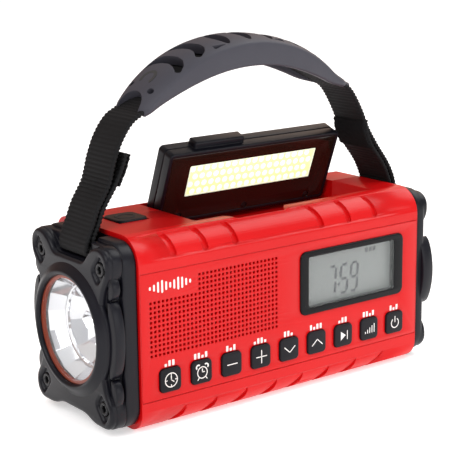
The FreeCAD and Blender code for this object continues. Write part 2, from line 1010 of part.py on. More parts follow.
def knob():
    """Folding spindle with trunnions in the fork, and the knob that turns on it."""
    pivot_z = D.crank_z - D.crank_reach
    trunnion = D.knob_rad + 2
    barrel_half = D.knob_rad + 0.3
    cross = rod(
        "spindle_cross", "x", 1, (D.crank_x - trunnion, KNOB_Y, pivot_z), 2 * trunnion
    )
    barrel = rod(
        "spindle_barrel", "x", 2.2, (D.crank_x - barrel_half, KNOB_Y, pivot_z), 2 * barrel_half
    )
    stem = rod("spindle_stem", "z", 1.4, (D.crank_x, KNOB_Y, pivot_z), 14.8)
    named(joined("knob_spindle", [cross, barrel, stem]), "knob_spindle")
    outer = rod("knob_outer", "z", D.knob_rad, (D.crank_x, KNOB_Y, pivot_z + 2.6), 13)
    bore = rod("knob_bore", "z", 1.4 + D.running, (D.crank_x, KNOB_Y, pivot_z), 15)
    named(cut_from("crank_knob", outer, bore), "crank_knob")


# ---------------------------------------------------------------- light flap
def opened(item):
    """Turns a piece drawn with the flap closed to where the flap stands."""
    angle = -float(D.flap_open)
    pivot = Vector(0, float(D.hinge_y), float(D.hinge_z))
    turn = Placement(Vector(), Rotation(Vector(1, 0, 0), angle), pivot)
    doc.recompute()
    item.Placement = turn.multiply(item.Placement)
    return item


def flap_frame():
    body = new_body("flap_frame")
    rim = D.flap_rim
    outline = rect(D.flap_left, D.flap_front, D.flap_right, D.flap_rear)
    add_slab(body, "XY_Plane", [outline], D.flap_low, D.body_high)
    round_edges(body, 2, along(2))
    add_slab(
        body,
        "XY_Plane",
        [rect(-21.8, D.flap_front - 2.7, 3.4, D.flap_front + 1)],
        D.flap_low + 2.4,
        D.body_high - 1.4,
    )
    web = D.flap_low + 6
    hinge_block = D.flap_rear - 4.6
    cut_slab(
        body,
        "XY_Plane",
        [rect(D.flap_left + rim, D.flap_front + rim, D.flap_right - rim, hinge_block)],
        D.flap_low - 1,
        web,
    )
    cut_slab(
        body,
        "XY_Plane",
        [rect(D.flap_left + rim, D.flap_front + rim, D.flap_right - rim, D.flap_rear - rim)],
        D.flap_low - 1,
        D.flap_low + 1.5,
    )
    cut_slab(
        body,
        "XY_Plane",
        [rect(D.flap_left + rim, D.flap_front + rim, D.flap_right - rim, hinge_block)],
        web + 1.4,
        D.body_high + 1,
    )
    bore = (D.hinge_y, D.hinge_z, D.hinge_pin_rad + D.running)
    cut_slab(body, "YZ_Plane", [bore], D.flap_left - 1, D.flap_left + 5)
    cut_slab(body, "YZ_Plane", [bore], D.flap_right - 5, D.flap_right + 1)
    screws = [(across, D.flap_rear - 3, 0.85) for across in FLAP_SCREWS]
    cut_slab(body, "XY_Plane", screws, D.flap_low, D.flap_low + 3.1)
    return named(opened(body), "flap_frame")


FLAP_SCREWS = [-24.7, 9.5, 43.8]


def flap_face():
    """Dark glossy plate around the light window."""
    body = new_body("flap_face")
    rim = D.flap_rim
    add_slab(
        body,
        "XY_Plane",
        [rect(D.flap_left + rim, D.flap_front + rim, D.flap_right - rim, D.flap_rear - rim)],
        D.flap_low + 0.1,
        D.flap_low + 1.5,
    )
    cut_slab(
        body,
        "XY_Plane",
        [rect(D.window_left, D.window_front, D.window_right, D.window_rear)],
        D.flap_low - 1,
        D.flap_low + 3,
    )
    screws = [(across, D.flap_rear - 3, 1.5) for across in FLAP_SCREWS]
    cut_slab(body, "XY_Plane", screws, D.flap_low - 1, D.flap_low + 3)
    named(opened(body), "flap_face")


def flap_inserts():
    """Light window and its board, solar cell and the three small screws."""
    rim = D.flap_rim
    window = rect(D.window_left, D.window_front, D.window_right, D.window_rear)
    opened(slab("light_window", "XY_Plane", [window], D.flap_low + 0.1, D.flap_low + 1.5))
    board = rect(
        D.window_left - 3, D.window_front - 3, D.window_right + 3, D.window_rear + 3
    )
    opened(slab("light_board", "XY_Plane", [board], D.flap_low + 1.5, D.flap_low + 3))
    cell = rect(
        D.flap_left + rim, D.flap_front + rim, D.flap_right - rim, D.flap_rear - 4.6
    )
    opened(slab("solar_cell", "XY_Plane", [cell], D.flap_low + 7.4, D.body_high - 0.2))
    screws = []
    for number, across in enumerate(FLAP_SCREWS):
        head = rod(
            f"flap_screw_head_{number}", "z", 1.3, (across, D.flap_rear - 3, D.flap_low + 0.2), 1.3
        )
        shank = rod(
            f"flap_screw_shank_{number}", "z", 0.8, (across, D.flap_rear - 3, D.flap_low + 1.5), 1.5
        )
        screws.append(joined(f"flap_screw_{number}", [head, shank]))
    named(opened(grouped("flap_screws", screws)), "flap_screws")


def hinge_pins():
    """Two stub pins from the recess's end walls into the flap."""
    left = rod(
        "hinge_pin_left",
        "x",
        D.hinge_pin_rad,
        (D.tray_left, D.hinge_y, D.hinge_z),
        D.flap_left + 4.5 - D.tray_left,
    )
    right = rod(
        "hinge_pin_right",
        "x",
        D.hinge_pin_rad,
        (D.flap_right - 4.5, D.hinge_y, D.hinge_z),
        D.tray_right - D.flap_right + 4.5,
    )
    named(grouped("hinge_pins", [left, right]), "hinge_pins")


# ---------------------------------------------------------------- end caps and lamp
def plate_outline():
    """Four-lobed bumper plate, seen along the radio."""
    half = [
        (0, 66.3),
        (10.8, 66.4),
        (14, 70.6),
        (18.6, 73.6),
        (24, 73.8),
        (28, 70.5),
        (28.2, 64),
        (23, 56),
        (22.4, D.lamp_z),
        (23, 20),
        (28.4, 12.4),
        (28.2, 6.6),
        (24.6, 3),
        (15, 3),
        (9, 5.4),
        (0, 5.6),
    ]
    other = [(-size(across), up) for across, up in reversed(half[1:-1])]
    return half + other


def between(side, near, far):
    """The span from near to far on the left (-1) or right (+1) side, low value first."""
    if side > 0:
        return near, far
    return -size(far), -size(near)


def end_cap(label, side, bored):
    """Cap over one end: base, lobed bumper plate, side ribs, screw pockets, strap slot."""
    body = new_body(label)
    end = HALF
    base_end = HALF + (D.cap_deep if bored else D.right_deep)
    plate_end = base_end + (D.plate_deep if bored else D.right_plate)
    rib_end = base_end if bored else plate_end + 1.2
    add_slab(
        body,
        "YZ_Plane",
        [rect(-D.cap_half, D.cap_low, D.cap_half, D.cap_top)],
        *between(side, end, base_end),
    )
    round_edges(body, D.cap_round, along(0))
    add_slab(body, "YZ_Plane", [plate_outline()], *between(side, base_end - 1, plate_end))
    rim = [(0, D.lamp_z, D.rim_rad)]
    add_slab(body, "YZ_Plane", rim, *between(side, base_end - 1, plate_end + 1.6))
    ribs = [
        rect(-D.cap_half - 2.3, 24, -D.cap_half + 1, 52),
        rect(D.cap_half - 1, 24, D.cap_half + 2.3, 52),
    ]
    add_slab(body, "YZ_Plane", ribs, *between(side, end + 3.2, rib_end))
    slot = [rect(-11.5, D.screw_top - 1.4, 11.5, D.cap_top + 4)]
    cut_slab(body, "YZ_Plane", slot, *between(side, end + 1, base_end + 0.01))
    spots = [(s * D.screw_y, up) for s in (-1, 1) for up in (D.screw_low, D.screw_top)]
    holes = [(across, up, D.screw_rad) for across, up in spots]
    cut_slab(body, "YZ_Plane", holes, *between(side, end - 1, plate_end + 1))
    pockets = [(across, up, D.screw_head + 0.9) for across, up in spots]
    cut_slab(body, "YZ_Plane", pockets, *between(side, plate_end - 2, plate_end + 1))
    heads = [(across, up, D.screw_head) for across, up in spots]
    cut_slab(body, "YZ_Plane", heads, *between(side, plate_end - 4, plate_end))
    if bored:
        opening = [(0, D.lamp_z, D.bezel_rad)]
        cut_slab(body, "YZ_Plane", opening, *between(side, end - 1, plate_end + 2))
    else:
        core = [(0, D.lamp_z, D.bezel_rad - 2)]
        cut_slab(body, "YZ_Plane", core, *between(side, end - 1, base_end))
        groove = [(D.antenna_y, D.antenna_z, D.antenna_rad + 0.5)]
        cut_slab(body, "YZ_Plane", groove, *between(side, end - 1, plate_end + 1))
    cut_slab(
        body,
        "XZ_Plane",
        [(D.left_bar if bored else D.right_bar, D.bar_z, D.bar_rad)],
        -17,
        17,
    )
    return named(body, label)


def cap_screws():
    """Socket-head screws through both caps into the end walls."""
    screws = []
    spots = [
        (side, s, up)
        for side in (-1, 1)
        for s in (-1, 1)
        for up in (D.screw_low, D.screw_top)
    ]
    for number, (side, s, up) in enumerate(spots):
        deep = D.cap_deep + D.plate_deep if side < 0 else D.right_deep + D.right_plate
        seat = HALF + deep - 4
        head_low, head_high = between(side, seat, seat + 3)
        shank_low, shank_high = between(side, HALF - D.wall - 1.6, seat)
        key_low, key_high = between(side, seat + 1.4, seat + 4)
        name = f"cap_screw_{number}"
        across = s * D.screw_y
        head = rod(name + "_head", "x", D.screw_head, (head_low, across, up), head_high - head_low)
        shank = rod(
            name + "_shank", "x", D.screw_rad, (shank_low, across, up), shank_high - shank_low
        )
        socket = doc.addObject("Part::Prism", name + "_socket")
        socket.Placement = Placement(Vector(), TURNS["x"])
        socket.Polygon = 6
        bind(socket, "Circumradius", 1.45)
        bind(socket, "Height", key_high - key_low)
        for letter, amount in zip("xyz", (key_low, across, up)):
            bind(socket, f"Placement.Base.{letter}", amount)
        screws.append(cut_from(name, joined(name + "_whole", [head, shank]), socket))
    named(grouped("cap_screws", screws), "cap_screws")


def ring(label, outer, inner, start, length):
    """Ring around the lamp's axis."""
    out = rod(label + "_out", "x", outer, (start, 0, D.lamp_z), length)
    bore = rod(label + "_in", "x", inner, (start - 1, 0, D.lamp_z), length + 2)
    return named(cut_from(label, out, bore), label)


LAMP_FACE = -(HALF + D.cap_deep + D.plate_deep)


def lamp():
    """Bezel, coloured ring, clear lens, reflector and the lamp's LED."""
    ring("lamp_bezel", D.bezel_rad, D.lamp_rad, LAMP_FACE - 2.2, 5.8)
    ring("lamp_gasket", D.lamp_rad, D.lamp_rad - 1.2, LAMP_FACE - 0.4, 1.4)
    lens = rod("lamp_lens", "x", D.lamp_rad, (LAMP_FACE + 1, 0, D.lamp_z), 1.6)
    named(lens, "lamp_lens")
    mouth = LAMP_FACE + 2.6
    depth = 19
    throat = 3.6
    reflector = new_body("reflector")
    steps = 8
    outer_line = []
    inner_line = []
    for step in range(steps + 1):
        radius = throat + (D.lamp_rad - 1.4 - throat) * (step / steps)
        share = (step / steps) ** 2
        inner_line.append((mouth + depth * (1 - share), D.lamp_z + radius))
        outer_line.append((mouth + depth * (1 - share) + 0.9, D.lamp_z + radius + 0.7))
    rim = [(mouth, D.lamp_z + D.lamp_rad)]
    sketch = sketch_on(
        reflector, "XZ_Plane", [inner_line + rim + list(reversed(outer_line[:-1]))]
    )
    axis = sketch.addGeometry(
        Part.LineSegment(
            Vector(float(mouth), float(D.lamp_z), 0), Vector(float(mouth) + 30, float(D.lamp_z), 0)
        ),
        True,
    )
    tie = sketch.addConstraint(
        Sketcher.Constraint("DistanceY", -1, 1, axis, 1, float(D.lamp_z))
    )
    sketch.setExpression(f"Constraints[{tie}]", D.lamp_z.text)
    sketch.addConstraint(Sketcher.Constraint("Horizontal", axis))
    turned = reflector.newObject("PartDesign::Revolution", "reflector_turn")
    turned.Profile = sketch
    turned.ReferenceAxis = (sketch, ["Axis0"])
    turned.Angle = 360
    doc.recompute()
    named(reflector, "reflector")
    seat = mouth + depth
    board = rod("lamp_board", "x", 9, (seat + 0.9, 0, D.lamp_z), 1.6)
    die = rod("lamp_die", "x", 1.8, (seat - 0.6, 0, D.lamp_z), 1.5)
    dome = doc.addObject("Part::Sphere", "lamp_dome")
    bind(dome, "Radius", 1.8)
    for letter, amount in zip("xyz", (seat - 0.6, 0, D.lamp_z)):
        bind(dome, f"Placement.Base.{letter}", amount)
    named(joined("lamp_led", [board, die, dome]), "lamp_led")


# ---------------------------------------------------------------- handle
LEFT_PATH = [
    (-82.2, 74),
    (-79.6, 80),
    (-77, 86),
    (-72.2, 94),
    (-69.4, 103),
    (-65.8, 111),
    (-60.6, 117.6),
    (-54, 121.4),
]
RIGHT_PATH = [
    (78.6, 74),
    (76.6, 80),
    (73.2, 86),
    (67.2, 94),
    (61.9, 102),
    (58.5, 109),
    (54.4, 116),
    (50.2, 120.9),
    (43.8, 124.2),
]
ARCH_RAD = 64.4


def arc_points(radius, from_angle, to_angle, count):
    """Points on the grip's arc, angles in degrees from straight up, towards +X."""
    centre_x = float(D.grip_x)
    centre_z = float(D.grip_z)
    found = []
    for step in range(count + 1):
        angle = math.radians(from_angle + (to_angle - from_angle) * step / count)
        found.append(
            (centre_x + radius * math.sin(angle), centre_z + radius * math.cos(angle))
        )
    return found


def ribbon(outer, thick, half_wide, swell=0.0):
    """Flat webbing whose outer face follows the points; the inside lies to the right.

    A swell makes it that much larger on both faces and both edges."""
    half_wide = half_wide + swell
    line = [Vector(x, 0, z) for x, z in outer]
    points = []
    inner = []
    for k, point in enumerate(line):
        before = line[max(k - 1, 0)]
        after = line[min(k + 1, len(line) - 1)]
        run = (after - before).normalize()
        inward = Vector(run.z, 0, -run.x)
        points.append(point - inward * swell)
        inner.append(point + inward * (thick + swell))
    outside = Part.BSplineCurve()
    outside.interpolate(points)
    inside = Part.BSplineCurve()
    inside.interpolate(list(reversed(inner)))
    edges = [
        outside.toShape(),
        Part.makeLine(points[-1], inner[-1]),
        inside.toShape(),
        Part.makeLine(inner[0], points[0]),
    ]
    face = Part.Face(Part.Wire(edges))
    face.translate(Vector(0, -half_wide, 0))
    return face.extrude(Vector(0, 2 * half_wide, 0))


def rounded_feet(strap):
    """Rounds a strap's lower ends about the handle's axis, so that they clear their loops."""
    axis_z = float(D.handle_z)
    disc = Part.makeCylinder(
        float(D.pivot_rad), 200, Vector(-100, 0, axis_z), Vector(1, 0, 0)
    )
    above = Part.makeBox(200, 60, 120, Vector(-100, -30, axis_z))
    return strap.common(disc.fuse(above))


def handle():
    """Webbing from loop to loop through the grip, its folded-back tails, and the grip."""
    thick = float(D.strap_thick)
    half = float(D.strap_wide) / 2
    middle = arc_points(ARCH_RAD, -38, 34, 8)
    route = LEFT_PATH + middle + list(reversed(RIGHT_PATH))
    webbing = ribbon(route, thick, half)
    webbing = rounded_feet(webbing)
    named(solid_feature("handle_webbing", webbing), "handle_webbing")
    left_tail = [(-79.7, 74), (-77, 80), (-74.4, 86), (-69, 94), (-65.8, 100), (-63.8, 105.5)]
    right_tail = [(61, 105), (61.6, 100), (64.6, 94), (70.8, 86), (74.1, 80), (76.2, 74)]
    tails = []
    for path in (left_tail, right_tail):
        tail = rounded_feet(ribbon(path, thick * 0.9, half * 0.96)).cut(webbing)
        for edge in (-16, 6):
            tail = tail.cut(Part.makeBox(200, 10, 20, Vector(-100, edge, 70)))
        tails.append(max(tail.Solids, key=lambda solid: solid.Volume))
    named(solid_feature("handle_tails", Part.makeCompound(tails)), "handle_tails")
    named(grip(ribbon(route, thick, half, 0.25)), "handle_grip")


def grip(channel):
    """Rubber grip over the webbing's channel: an arch with openings in its crown."""
    centre = Vector(float(D.grip_x), 0, float(D.grip_z))
    crown = float(D.grip_crown)
    half = float(D.grip_half)
    seat = ARCH_RAD + 0.4
    side = [
        (0, crown),
        (6, crown - 0.3),
        (half - 3.4, crown - 2),
        (half - 0.4, crown - 5),
        (half + 0.4, crown - 9),
        (half - 0.4, crown - 13),
        (half - 3, crown - 13),
        (half - 3, seat),
    ]
    section = side + [(-across, up) for across, up in reversed(side[1:])]
    corners = [centre + Vector(0, across, up) for across, up in section]
    face = Part.Face(Part.makePolygon(corners + [corners[0]]))
    axis = Vector(0, 1, 0)
    face.rotate(centre, axis, -51)
    body = face.revolve(centre, axis, 99)
    skirt = Part.makeCylinder(79, 60, Vector(centre.x, -30, 55), axis)
    body = body.cut(skirt)
    openings = [(7.6, 4.2, 3.4), (17, 5.2, 4.6), (29, 5.6, 4.4), (40, 3.2, 2.6)]
    for angle, across, along_arc in openings:
        for turn in (-angle, angle):
            cutter = Part.Ellipse(Vector(), across, min(along_arc, across - 0.2)).toShape()
            cutter = Part.Face(Part.Wire(cutter)).extrude(Vector(0, 0, 30))
            cutter.rotate(Vector(), Vector(0, 0, 1), 90)
            cutter.translate(centre + Vector(0, 0, seat - 10))
            cutter.rotate(centre, axis, turn)
            body = body.cut(cutter)
    for turn in (-60, 57):
        notch = Part.makeBox(24, 20.6, 20, centre + Vector(-12, -10.3, seat - 5))
        notch.rotate(centre, axis, turn)
        body = body.cut(notch)
    whole = max(body.cut(channel).Solids, key=lambda solid: solid.Volume)
    return solid_feature("handle_grip", whole)


def strap_loops():
    """Root end of the webbing: a loop round each bar, cut off just below the handle."""
    thick = float(D.strap_thick)
    bar_z = float(D.bar_z)
    inner = float(D.bar_rad) + 0.15
    outer = inner + thick
    half = float(D.strap_wide) / 2
    top = float(D.handle_z - D.pivot_rad) - 0.5
    loops = []
    for side, bar, lean in ((-1, D.left_bar, 1.0), (1, D.right_bar, 1.3)):
        middle = float(bar)
        ring_out = Part.makeCylinder(outer, 2 * half, Vector(middle, -half, bar_z), Vector(0, 1, 0))
        ring_in = Part.makeCylinder(inner, 2 * half, Vector(middle, -half, bar_z), Vector(0, 1, 0))
        below = Part.makeBox(20, 40, 20, Vector(middle - 10, -20, bar_z - 20))
        loop = ring_out.cut(ring_in).common(below)
        outside = (middle + side * outer, -side * lean)
        inside = (middle - side * outer, side * 1.2)
        for start, shift in (outside, inside):
            step = side * thick if start == inside[0] else -side * thick
            corners = [
                Vector(start, -half, bar_z),
                Vector(start + step, -half, bar_z),
                Vector(start + step + shift, -half, top),
                Vector(start + shift, -half, top),
            ]
            leg = Part.Face(Part.makePolygon(corners + [corners[0]])).extrude(
                Vector(0, 2 * half, 0)
            )
            loop = loop.fuse(leg)
        loops.append(loop.removeSplitter())
    named(solid_feature("strap_loops", Part.makeCompound(loops)), "strap_loops")
    bars = [
        rod(f"strap_bar_{name}", "y", D.bar_rad, (bar, -17, D.bar_z), 34)
        for name, bar in (("left", D.left_bar), ("right", D.right_bar))
    ]
    named(grouped("strap_bars", bars), "strap_bars")


# ---------------------------------------------------------------- antenna
def antenna():
    """Pin, knuckle with the outer tube, and two telescoping sections."""
    x, y, z = D.antenna_x, D.antenna_y, D.antenna_z
    radius = D.antenna_rad
    pin = rod("antenna_pin_shank", "y", 1.2, (x, D.shelf_front, z), 4.9)
    head = rod("antenna_pin_head", "y", 2.2, (x, D.shelf_front + 4, z), 0.9)
    named(joined("antenna_pin", [pin, head]), "antenna_pin")
    disc = rod("knuckle_disc", "y", 3.4, (x, D.shelf_front + 0.3, z), 4.6)
    neck = block("knuckle_neck", (x, y - 2.2, z - 2.2), (x + 4.5, y + 2.2, z + 2.2))
    bore = rod("knuckle_bore", "y", 1.2 + D.running, (x, D.shelf_front, z), 6)
    seat = rod("knuckle_seat", "y", 2.3, (x, D.shelf_front + 3.9, z), 3)
    named(
        cut_from("antenna_knuckle", joined("knuckle_blank", [disc, neck]), bore, seat),
        "antenna_knuckle",
    )
    left = x + 4.5
    length = D.antenna_tip - left
    bores = (radius - 0.6, 1.15)
    tube = rod("tube_outer", "x", radius, (left, y, z), length)
    hole = rod("tube_hole", "x", bores[0], (left + 3, y, z), length - 2)
    named(cut_from("antenna_tube", tube, hole), "antenna_tube")
    middle = rod("middle_outer", "x", bores[0] - D.running, (left + 4.6, y, z), length - 5)
    middle_hole = rod("middle_hole", "x", bores[1], (left + 7, y, z), length - 6)
    named(cut_from("antenna_middle", middle, middle_hole), "antenna_middle")
    inner = rod("end_rod", "x", bores[1] - D.running, (left + 9, y, z), length - 8)
    tip = rod("end_tip", "x", radius - 0.1, (D.antenna_tip + 0.1, y, z), 3.5)
    named(joined("antenna_end", [inner, tip]), "antenna_end")


def rear_screws():
    screws = []
    for number, (across, up) in enumerate(REAR_SCREWS):
        seat = REAR - 2.4
        head = rod(f"rear_head_{number}", "y", 2.6, (across, seat, up), 1.6)
        shank = rod(f"rear_shank_{number}", "y", 1.4, (across, D.seam_y + 2, up), seat - D.seam_y - 2)
        screws.append(joined(f"rear_screw_{number}", [head, shank]))
    named(grouped("rear_screws", screws), "rear_screws")


# ---------------------------------------------------------------- the whole radio
front_shell()
rear_shell()
front_panel()
display()
for number in range(len(KEY_NAMES)):
    key(number)
lamp_key()
main_board()
key_switches()
speaker()
battery()
ports()
port_cover()
crank_train()
crank_shaft()
gear_plate()
generator()
crank()
knob()
flap_frame()
flap_face()
flap_inserts()
hinge_pins()
end_cap("left_cap", -1, bored=True)
end_cap("right_cap", 1, bored=False)
cap_screws()
lamp()
handle()
strap_loops()
antenna()
rear_screws()
doc.recompute()

# ---------------------------------------------------------------- checks and export
for item in doc.Objects:
    if "Invalid" in item.State or "Error" in item.State:
        raise ValueError(f"{item.Label}: {item.State}")
for item in nodes:
    shape = item.Shape
    if shape.isNull() or not shape.isValid() or not shape.Solids:
        raise ValueError(f"{item.Label} has no sound solid")
    shape.exportStep(f"parts/{item.Label}.step")
    box = shape.BoundBox
    print(
        f"{item.Label:18s} {len(shape.Solids):3d} solids {shape.Volume:10.1f} mm3  "
        f"x {box.XMin:.1f} {box.XMax:.1f}  y {box.YMin:.1f} {box.YMax:.1f}  z {box.ZMin:.1f} {box.ZMax:.1f}"
    )
print(len(nodes), "nodes")
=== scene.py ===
import math
import bmesh
import bpy
from mathutils import Matrix, Vector


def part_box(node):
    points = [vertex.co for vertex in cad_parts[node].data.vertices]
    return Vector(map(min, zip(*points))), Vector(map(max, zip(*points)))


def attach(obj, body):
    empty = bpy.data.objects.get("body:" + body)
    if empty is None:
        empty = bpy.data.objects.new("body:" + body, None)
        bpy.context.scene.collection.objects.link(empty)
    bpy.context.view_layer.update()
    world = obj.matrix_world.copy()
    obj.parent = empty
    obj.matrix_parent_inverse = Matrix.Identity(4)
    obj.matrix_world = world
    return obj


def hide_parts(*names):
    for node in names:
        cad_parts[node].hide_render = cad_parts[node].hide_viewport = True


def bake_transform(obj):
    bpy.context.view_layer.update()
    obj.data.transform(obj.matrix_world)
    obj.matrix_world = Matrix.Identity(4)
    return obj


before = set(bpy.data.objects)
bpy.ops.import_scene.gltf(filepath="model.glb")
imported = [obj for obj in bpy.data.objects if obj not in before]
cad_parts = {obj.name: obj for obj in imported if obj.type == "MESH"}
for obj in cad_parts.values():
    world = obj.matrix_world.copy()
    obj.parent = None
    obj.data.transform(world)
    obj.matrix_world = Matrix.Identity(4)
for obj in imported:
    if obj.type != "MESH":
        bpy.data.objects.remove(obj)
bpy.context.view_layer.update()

MM = 0.001


def node_box(node):
    """Lowest and highest corners of a CAD node, in millimetres."""
    low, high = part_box(node)
    return Vector(low) / MM, Vector(high) / MM


# Main sizes of the radio, in millimetres, from the frame.
PANEL_LOW, PANEL_HIGH = node_box("front_panel")
SHELL_LOW, SHELL_HIGH = node_box("front_shell")
HALF_LONG = SHELL_HIGH.x
FRONT = SHELL_LOW.y
TOP = SHELL_HIGH.z


# ---------------- objects and shader nodes
def add_object(name, data):
    """New object in the scene."""
    item = bpy.data.objects.new(name, data)
    bpy.context.scene.collection.objects.link(item)
    return item


def evaluated_mesh(item):
    """Mesh of an object as its modifiers or curve settings leave it."""
    bpy.context.view_layer.update()
    graph = bpy.context.evaluated_depsgraph_get()
    return bpy.data.meshes.new_from_object(item.evaluated_get(graph))


def set_inputs(tree, node, values):
    """Sets a node's inputs; a value that is another node's output is linked."""
    for key, value in values.items():
        if isinstance(value, bpy.types.NodeSocket):
            tree.links.new(value, node.inputs[key])
        else:
            node.inputs[key].default_value = value


def add_node(tree, kind, values):
    node = tree.nodes.new("ShaderNode" + kind)
    set_inputs(tree, node, values)
    return node


def colour_ramp(tree, value, stops):
    """Colour that follows a value through (place, colour) stops."""
    ramp = add_node(tree, "ValToRGB", {"Fac": value})
    elements = ramp.color_ramp.elements
    for element, (place, colour) in zip(elements, (stops[0], stops[-1])):
        element.position = place
        element.color = (*colour, 1)
    for place, colour in stops[1:-1]:
        elements.new(place).color = (*colour, 1)
    return ramp.outputs["Color"]


# ---------------- camera, light, floor
LENS = 111.56
CAMERA_PLACE = Vector((-346.06, -448.11, 199.04)) * MM
CAMERA_TARGET = Vector((-9.61, 0, 67.51)) * MM
CAMERA_ROLL = -0.68
FLOOR_REACH = 30.0


def look(position, target, roll_degrees=0.0):
    """Rotation that points an object's -Z from position at target, Z up, then rolls it."""
    back = (Vector(position) - Vector(target)).normalized()
    right = Vector((0, 0, 1)).cross(back).normalized()
    up = back.cross(right)
    roll = math.radians(roll_degrees)
    right_rolled = right * math.cos(roll) + up * math.sin(roll)
    up_rolled = up * math.cos(roll) - right * math.sin(roll)
    return Matrix((right_rolled, up_rolled, back)).transposed().to_euler()


def add_camera():
    data = bpy.data.cameras.new("camera")
    data.sensor_width = 36
    data.lens = LENS
    camera = add_object("camera", data)
    camera.location = CAMERA_PLACE
    camera.rotation_euler = look(CAMERA_PLACE, CAMERA_TARGET, CAMERA_ROLL)
    bpy.context.scene.camera = camera


def add_light(name, place, target, size_x, size_y, power, colour=(1, 1, 1)):
    data = bpy.data.lights.new(name, "AREA")
    data.shape = "RECTANGLE"
    data.size = size_x
    data.size_y = size_y
    data.energy = power
    data.color = colour
    light = add_object(name, data)
    light.location = place
    light.rotation_euler = look(place, target)


def add_world():
    """Studio light: bright overhead, grey in front, dim and warm low behind the radio."""
    world = bpy.data.worlds.new("studio")
    world.use_nodes = True
    tree = world.node_tree
    direction = add_node(tree, "TexCoord", {})
    parts = add_node(tree, "SeparateXYZ", {"Vector": direction.outputs["Generated"]})
    height = parts.outputs["Z"]
    grey = colour_ramp(tree, height, [(0, (0.42, 0.42, 0.45)), (0.45, (0.6, 0.6, 0.62)), (1, (1, 1, 1))])
    warm = colour_ramp(tree, height, [(0, (0.34, 0.16, 0.1)), (0.4, (0.5, 0.34, 0.26)), (1, (1, 1, 1))])
    side = add_node(tree, "MapRange", {"Value": parts.outputs["Y"], "From Min": -0.2, "From Max": 0.5})
    blend = add_node(tree, "Mix", {"Factor": side.outputs["Result"]})
    blend.data_type = "RGBA"
    first_colour, second_colour, mixed_colour = 6, 7, 2
    set_inputs(tree, blend, {first_colour: grey, second_colour: warm})
    background = {"Color": blend.outputs[mixed_colour], "Strength": 0.85}
    set_inputs(tree, tree.nodes["Background"], background)
    bpy.context.scene.world = world


def add_stage():
    add_world()
    bpy.context.scene.view_settings.view_transform = "Standard"
    add_light("key_light", (-0.9, -0.5, 0.9), (0, 0, 0.07), 0.7, 0.7, 6.5)
    add_light("front_light", (0.1, -1.3, 0.35), (0, 0, 0.06), 1.2, 0.5, 4)
    add_light("top_light", (0.62, -0.1, 0.9), (0, 0, 0.07), 0.9, 0.7, 6)
    add_light("rim_light", (0.9, 0.6, 0.5), (0, 0, 0.07), 0.5, 0.8, 1.2, (1, 0.75, 0.6))
    add_floor()


def add_floor():
    floor = bpy.data.meshes.new("floor")
    corners = [(x * FLOOR_REACH, y * FLOOR_REACH, 0) for x, y in ((-1, -1), (1, -1), (1, 1), (-1, 1))]
    floor.from_pydata(corners, [], [(0, 1, 2, 3)])
    paper = new_material("floor_paper", (0.9, 0.9, 0.9), 1, 0)
    glow = {"Emission Color": (1, 1, 1, 1), "Emission Strength": 0.5}
    set_inputs(paper.node_tree, shader_of(paper), glow)
    floor.materials.append(paper)
    add_object("floor", floor)


# ---------------- material helpers
def shader_of(material):
    return material.node_tree.nodes["Principled BSDF"]


def new_material(name, colour, rough, shine=0.5, metal=0.0, alpha=1.0):
    material = bpy.data.materials.new(name)
    material.use_nodes = True
    values = {
        "Base Color": (*colour, 1),
        "Roughness": rough,
        "Specular IOR Level": shine,
        "Metallic": metal,
        "Alpha": alpha,
    }
    set_inputs(material.node_tree, shader_of(material), values)
    return material


def object_noise(tree, scale, detail=3.0):
    """Noise in object space; the scale is in waves per metre."""
    place = add_node(tree, "TexCoord", {}).outputs["Object"]
    return add_node(tree, "TexNoise", {"Vector": place, "Scale": scale, "Detail": detail}).outputs["Fac"]


def moulded(name, dark, light, rough_low, rough_high, grain_mm=0.02, shine=0.5, metal=0.0, alpha=1.0):
    """Moulded plastic: slow colour drift, uneven gloss and a fine surface grain."""
    material = new_material(name, light, rough_high, shine, metal, alpha)
    tree = material.node_tree
    tone = colour_ramp(tree, object_noise(tree, 18), [(0.35, dark), (0.65, light)])
    gloss = {"Value": object_noise(tree, 90, 5), "To Min": rough_low, "To Max": rough_high}
    rough = add_node(tree, "MapRange", gloss).outputs["Result"]
    set_inputs(tree, shader_of(material), {"Base Color": tone, "Roughness": rough})
    if grain_mm:
        relief = {"Height": object_noise(tree, 2600, 2), "Strength": 0.5, "Distance": grain_mm * MM}
        bump = add_node(tree, "Bump", relief)
        set_inputs(tree, shader_of(material), {"Normal": bump.outputs["Normal"]})
    return material


def glowing(name, dark, light, strength):
    """Lit plastic whose tone drifts a little between two yellows."""
    material = new_material(name, light, 0.25)
    tree = material.node_tree
    tone = colour_ramp(tree, object_noise(tree, 400, 1), [(0, dark), (1, light)])
    glow = {"Base Color": tone, "Emission Color": tone, "Emission Strength": strength}
    set_inputs(tree, shader_of(material), glow)
    return material


def round_shading(material, radius_mm):
    """Lets sharp edges catch the light as if they were slightly rounded."""
    tree = material.node_tree
    bevel = add_node(tree, "Bevel", {"Radius": radius_mm * MM})
    bevel.samples = 4
    target = shader_of(material)
    if target.inputs["Normal"].is_linked:
        target = target.inputs["Normal"].links[0].from_node
    set_inputs(tree, target, {"Normal": bevel.outputs["Normal"]})


MATERIALS = {}


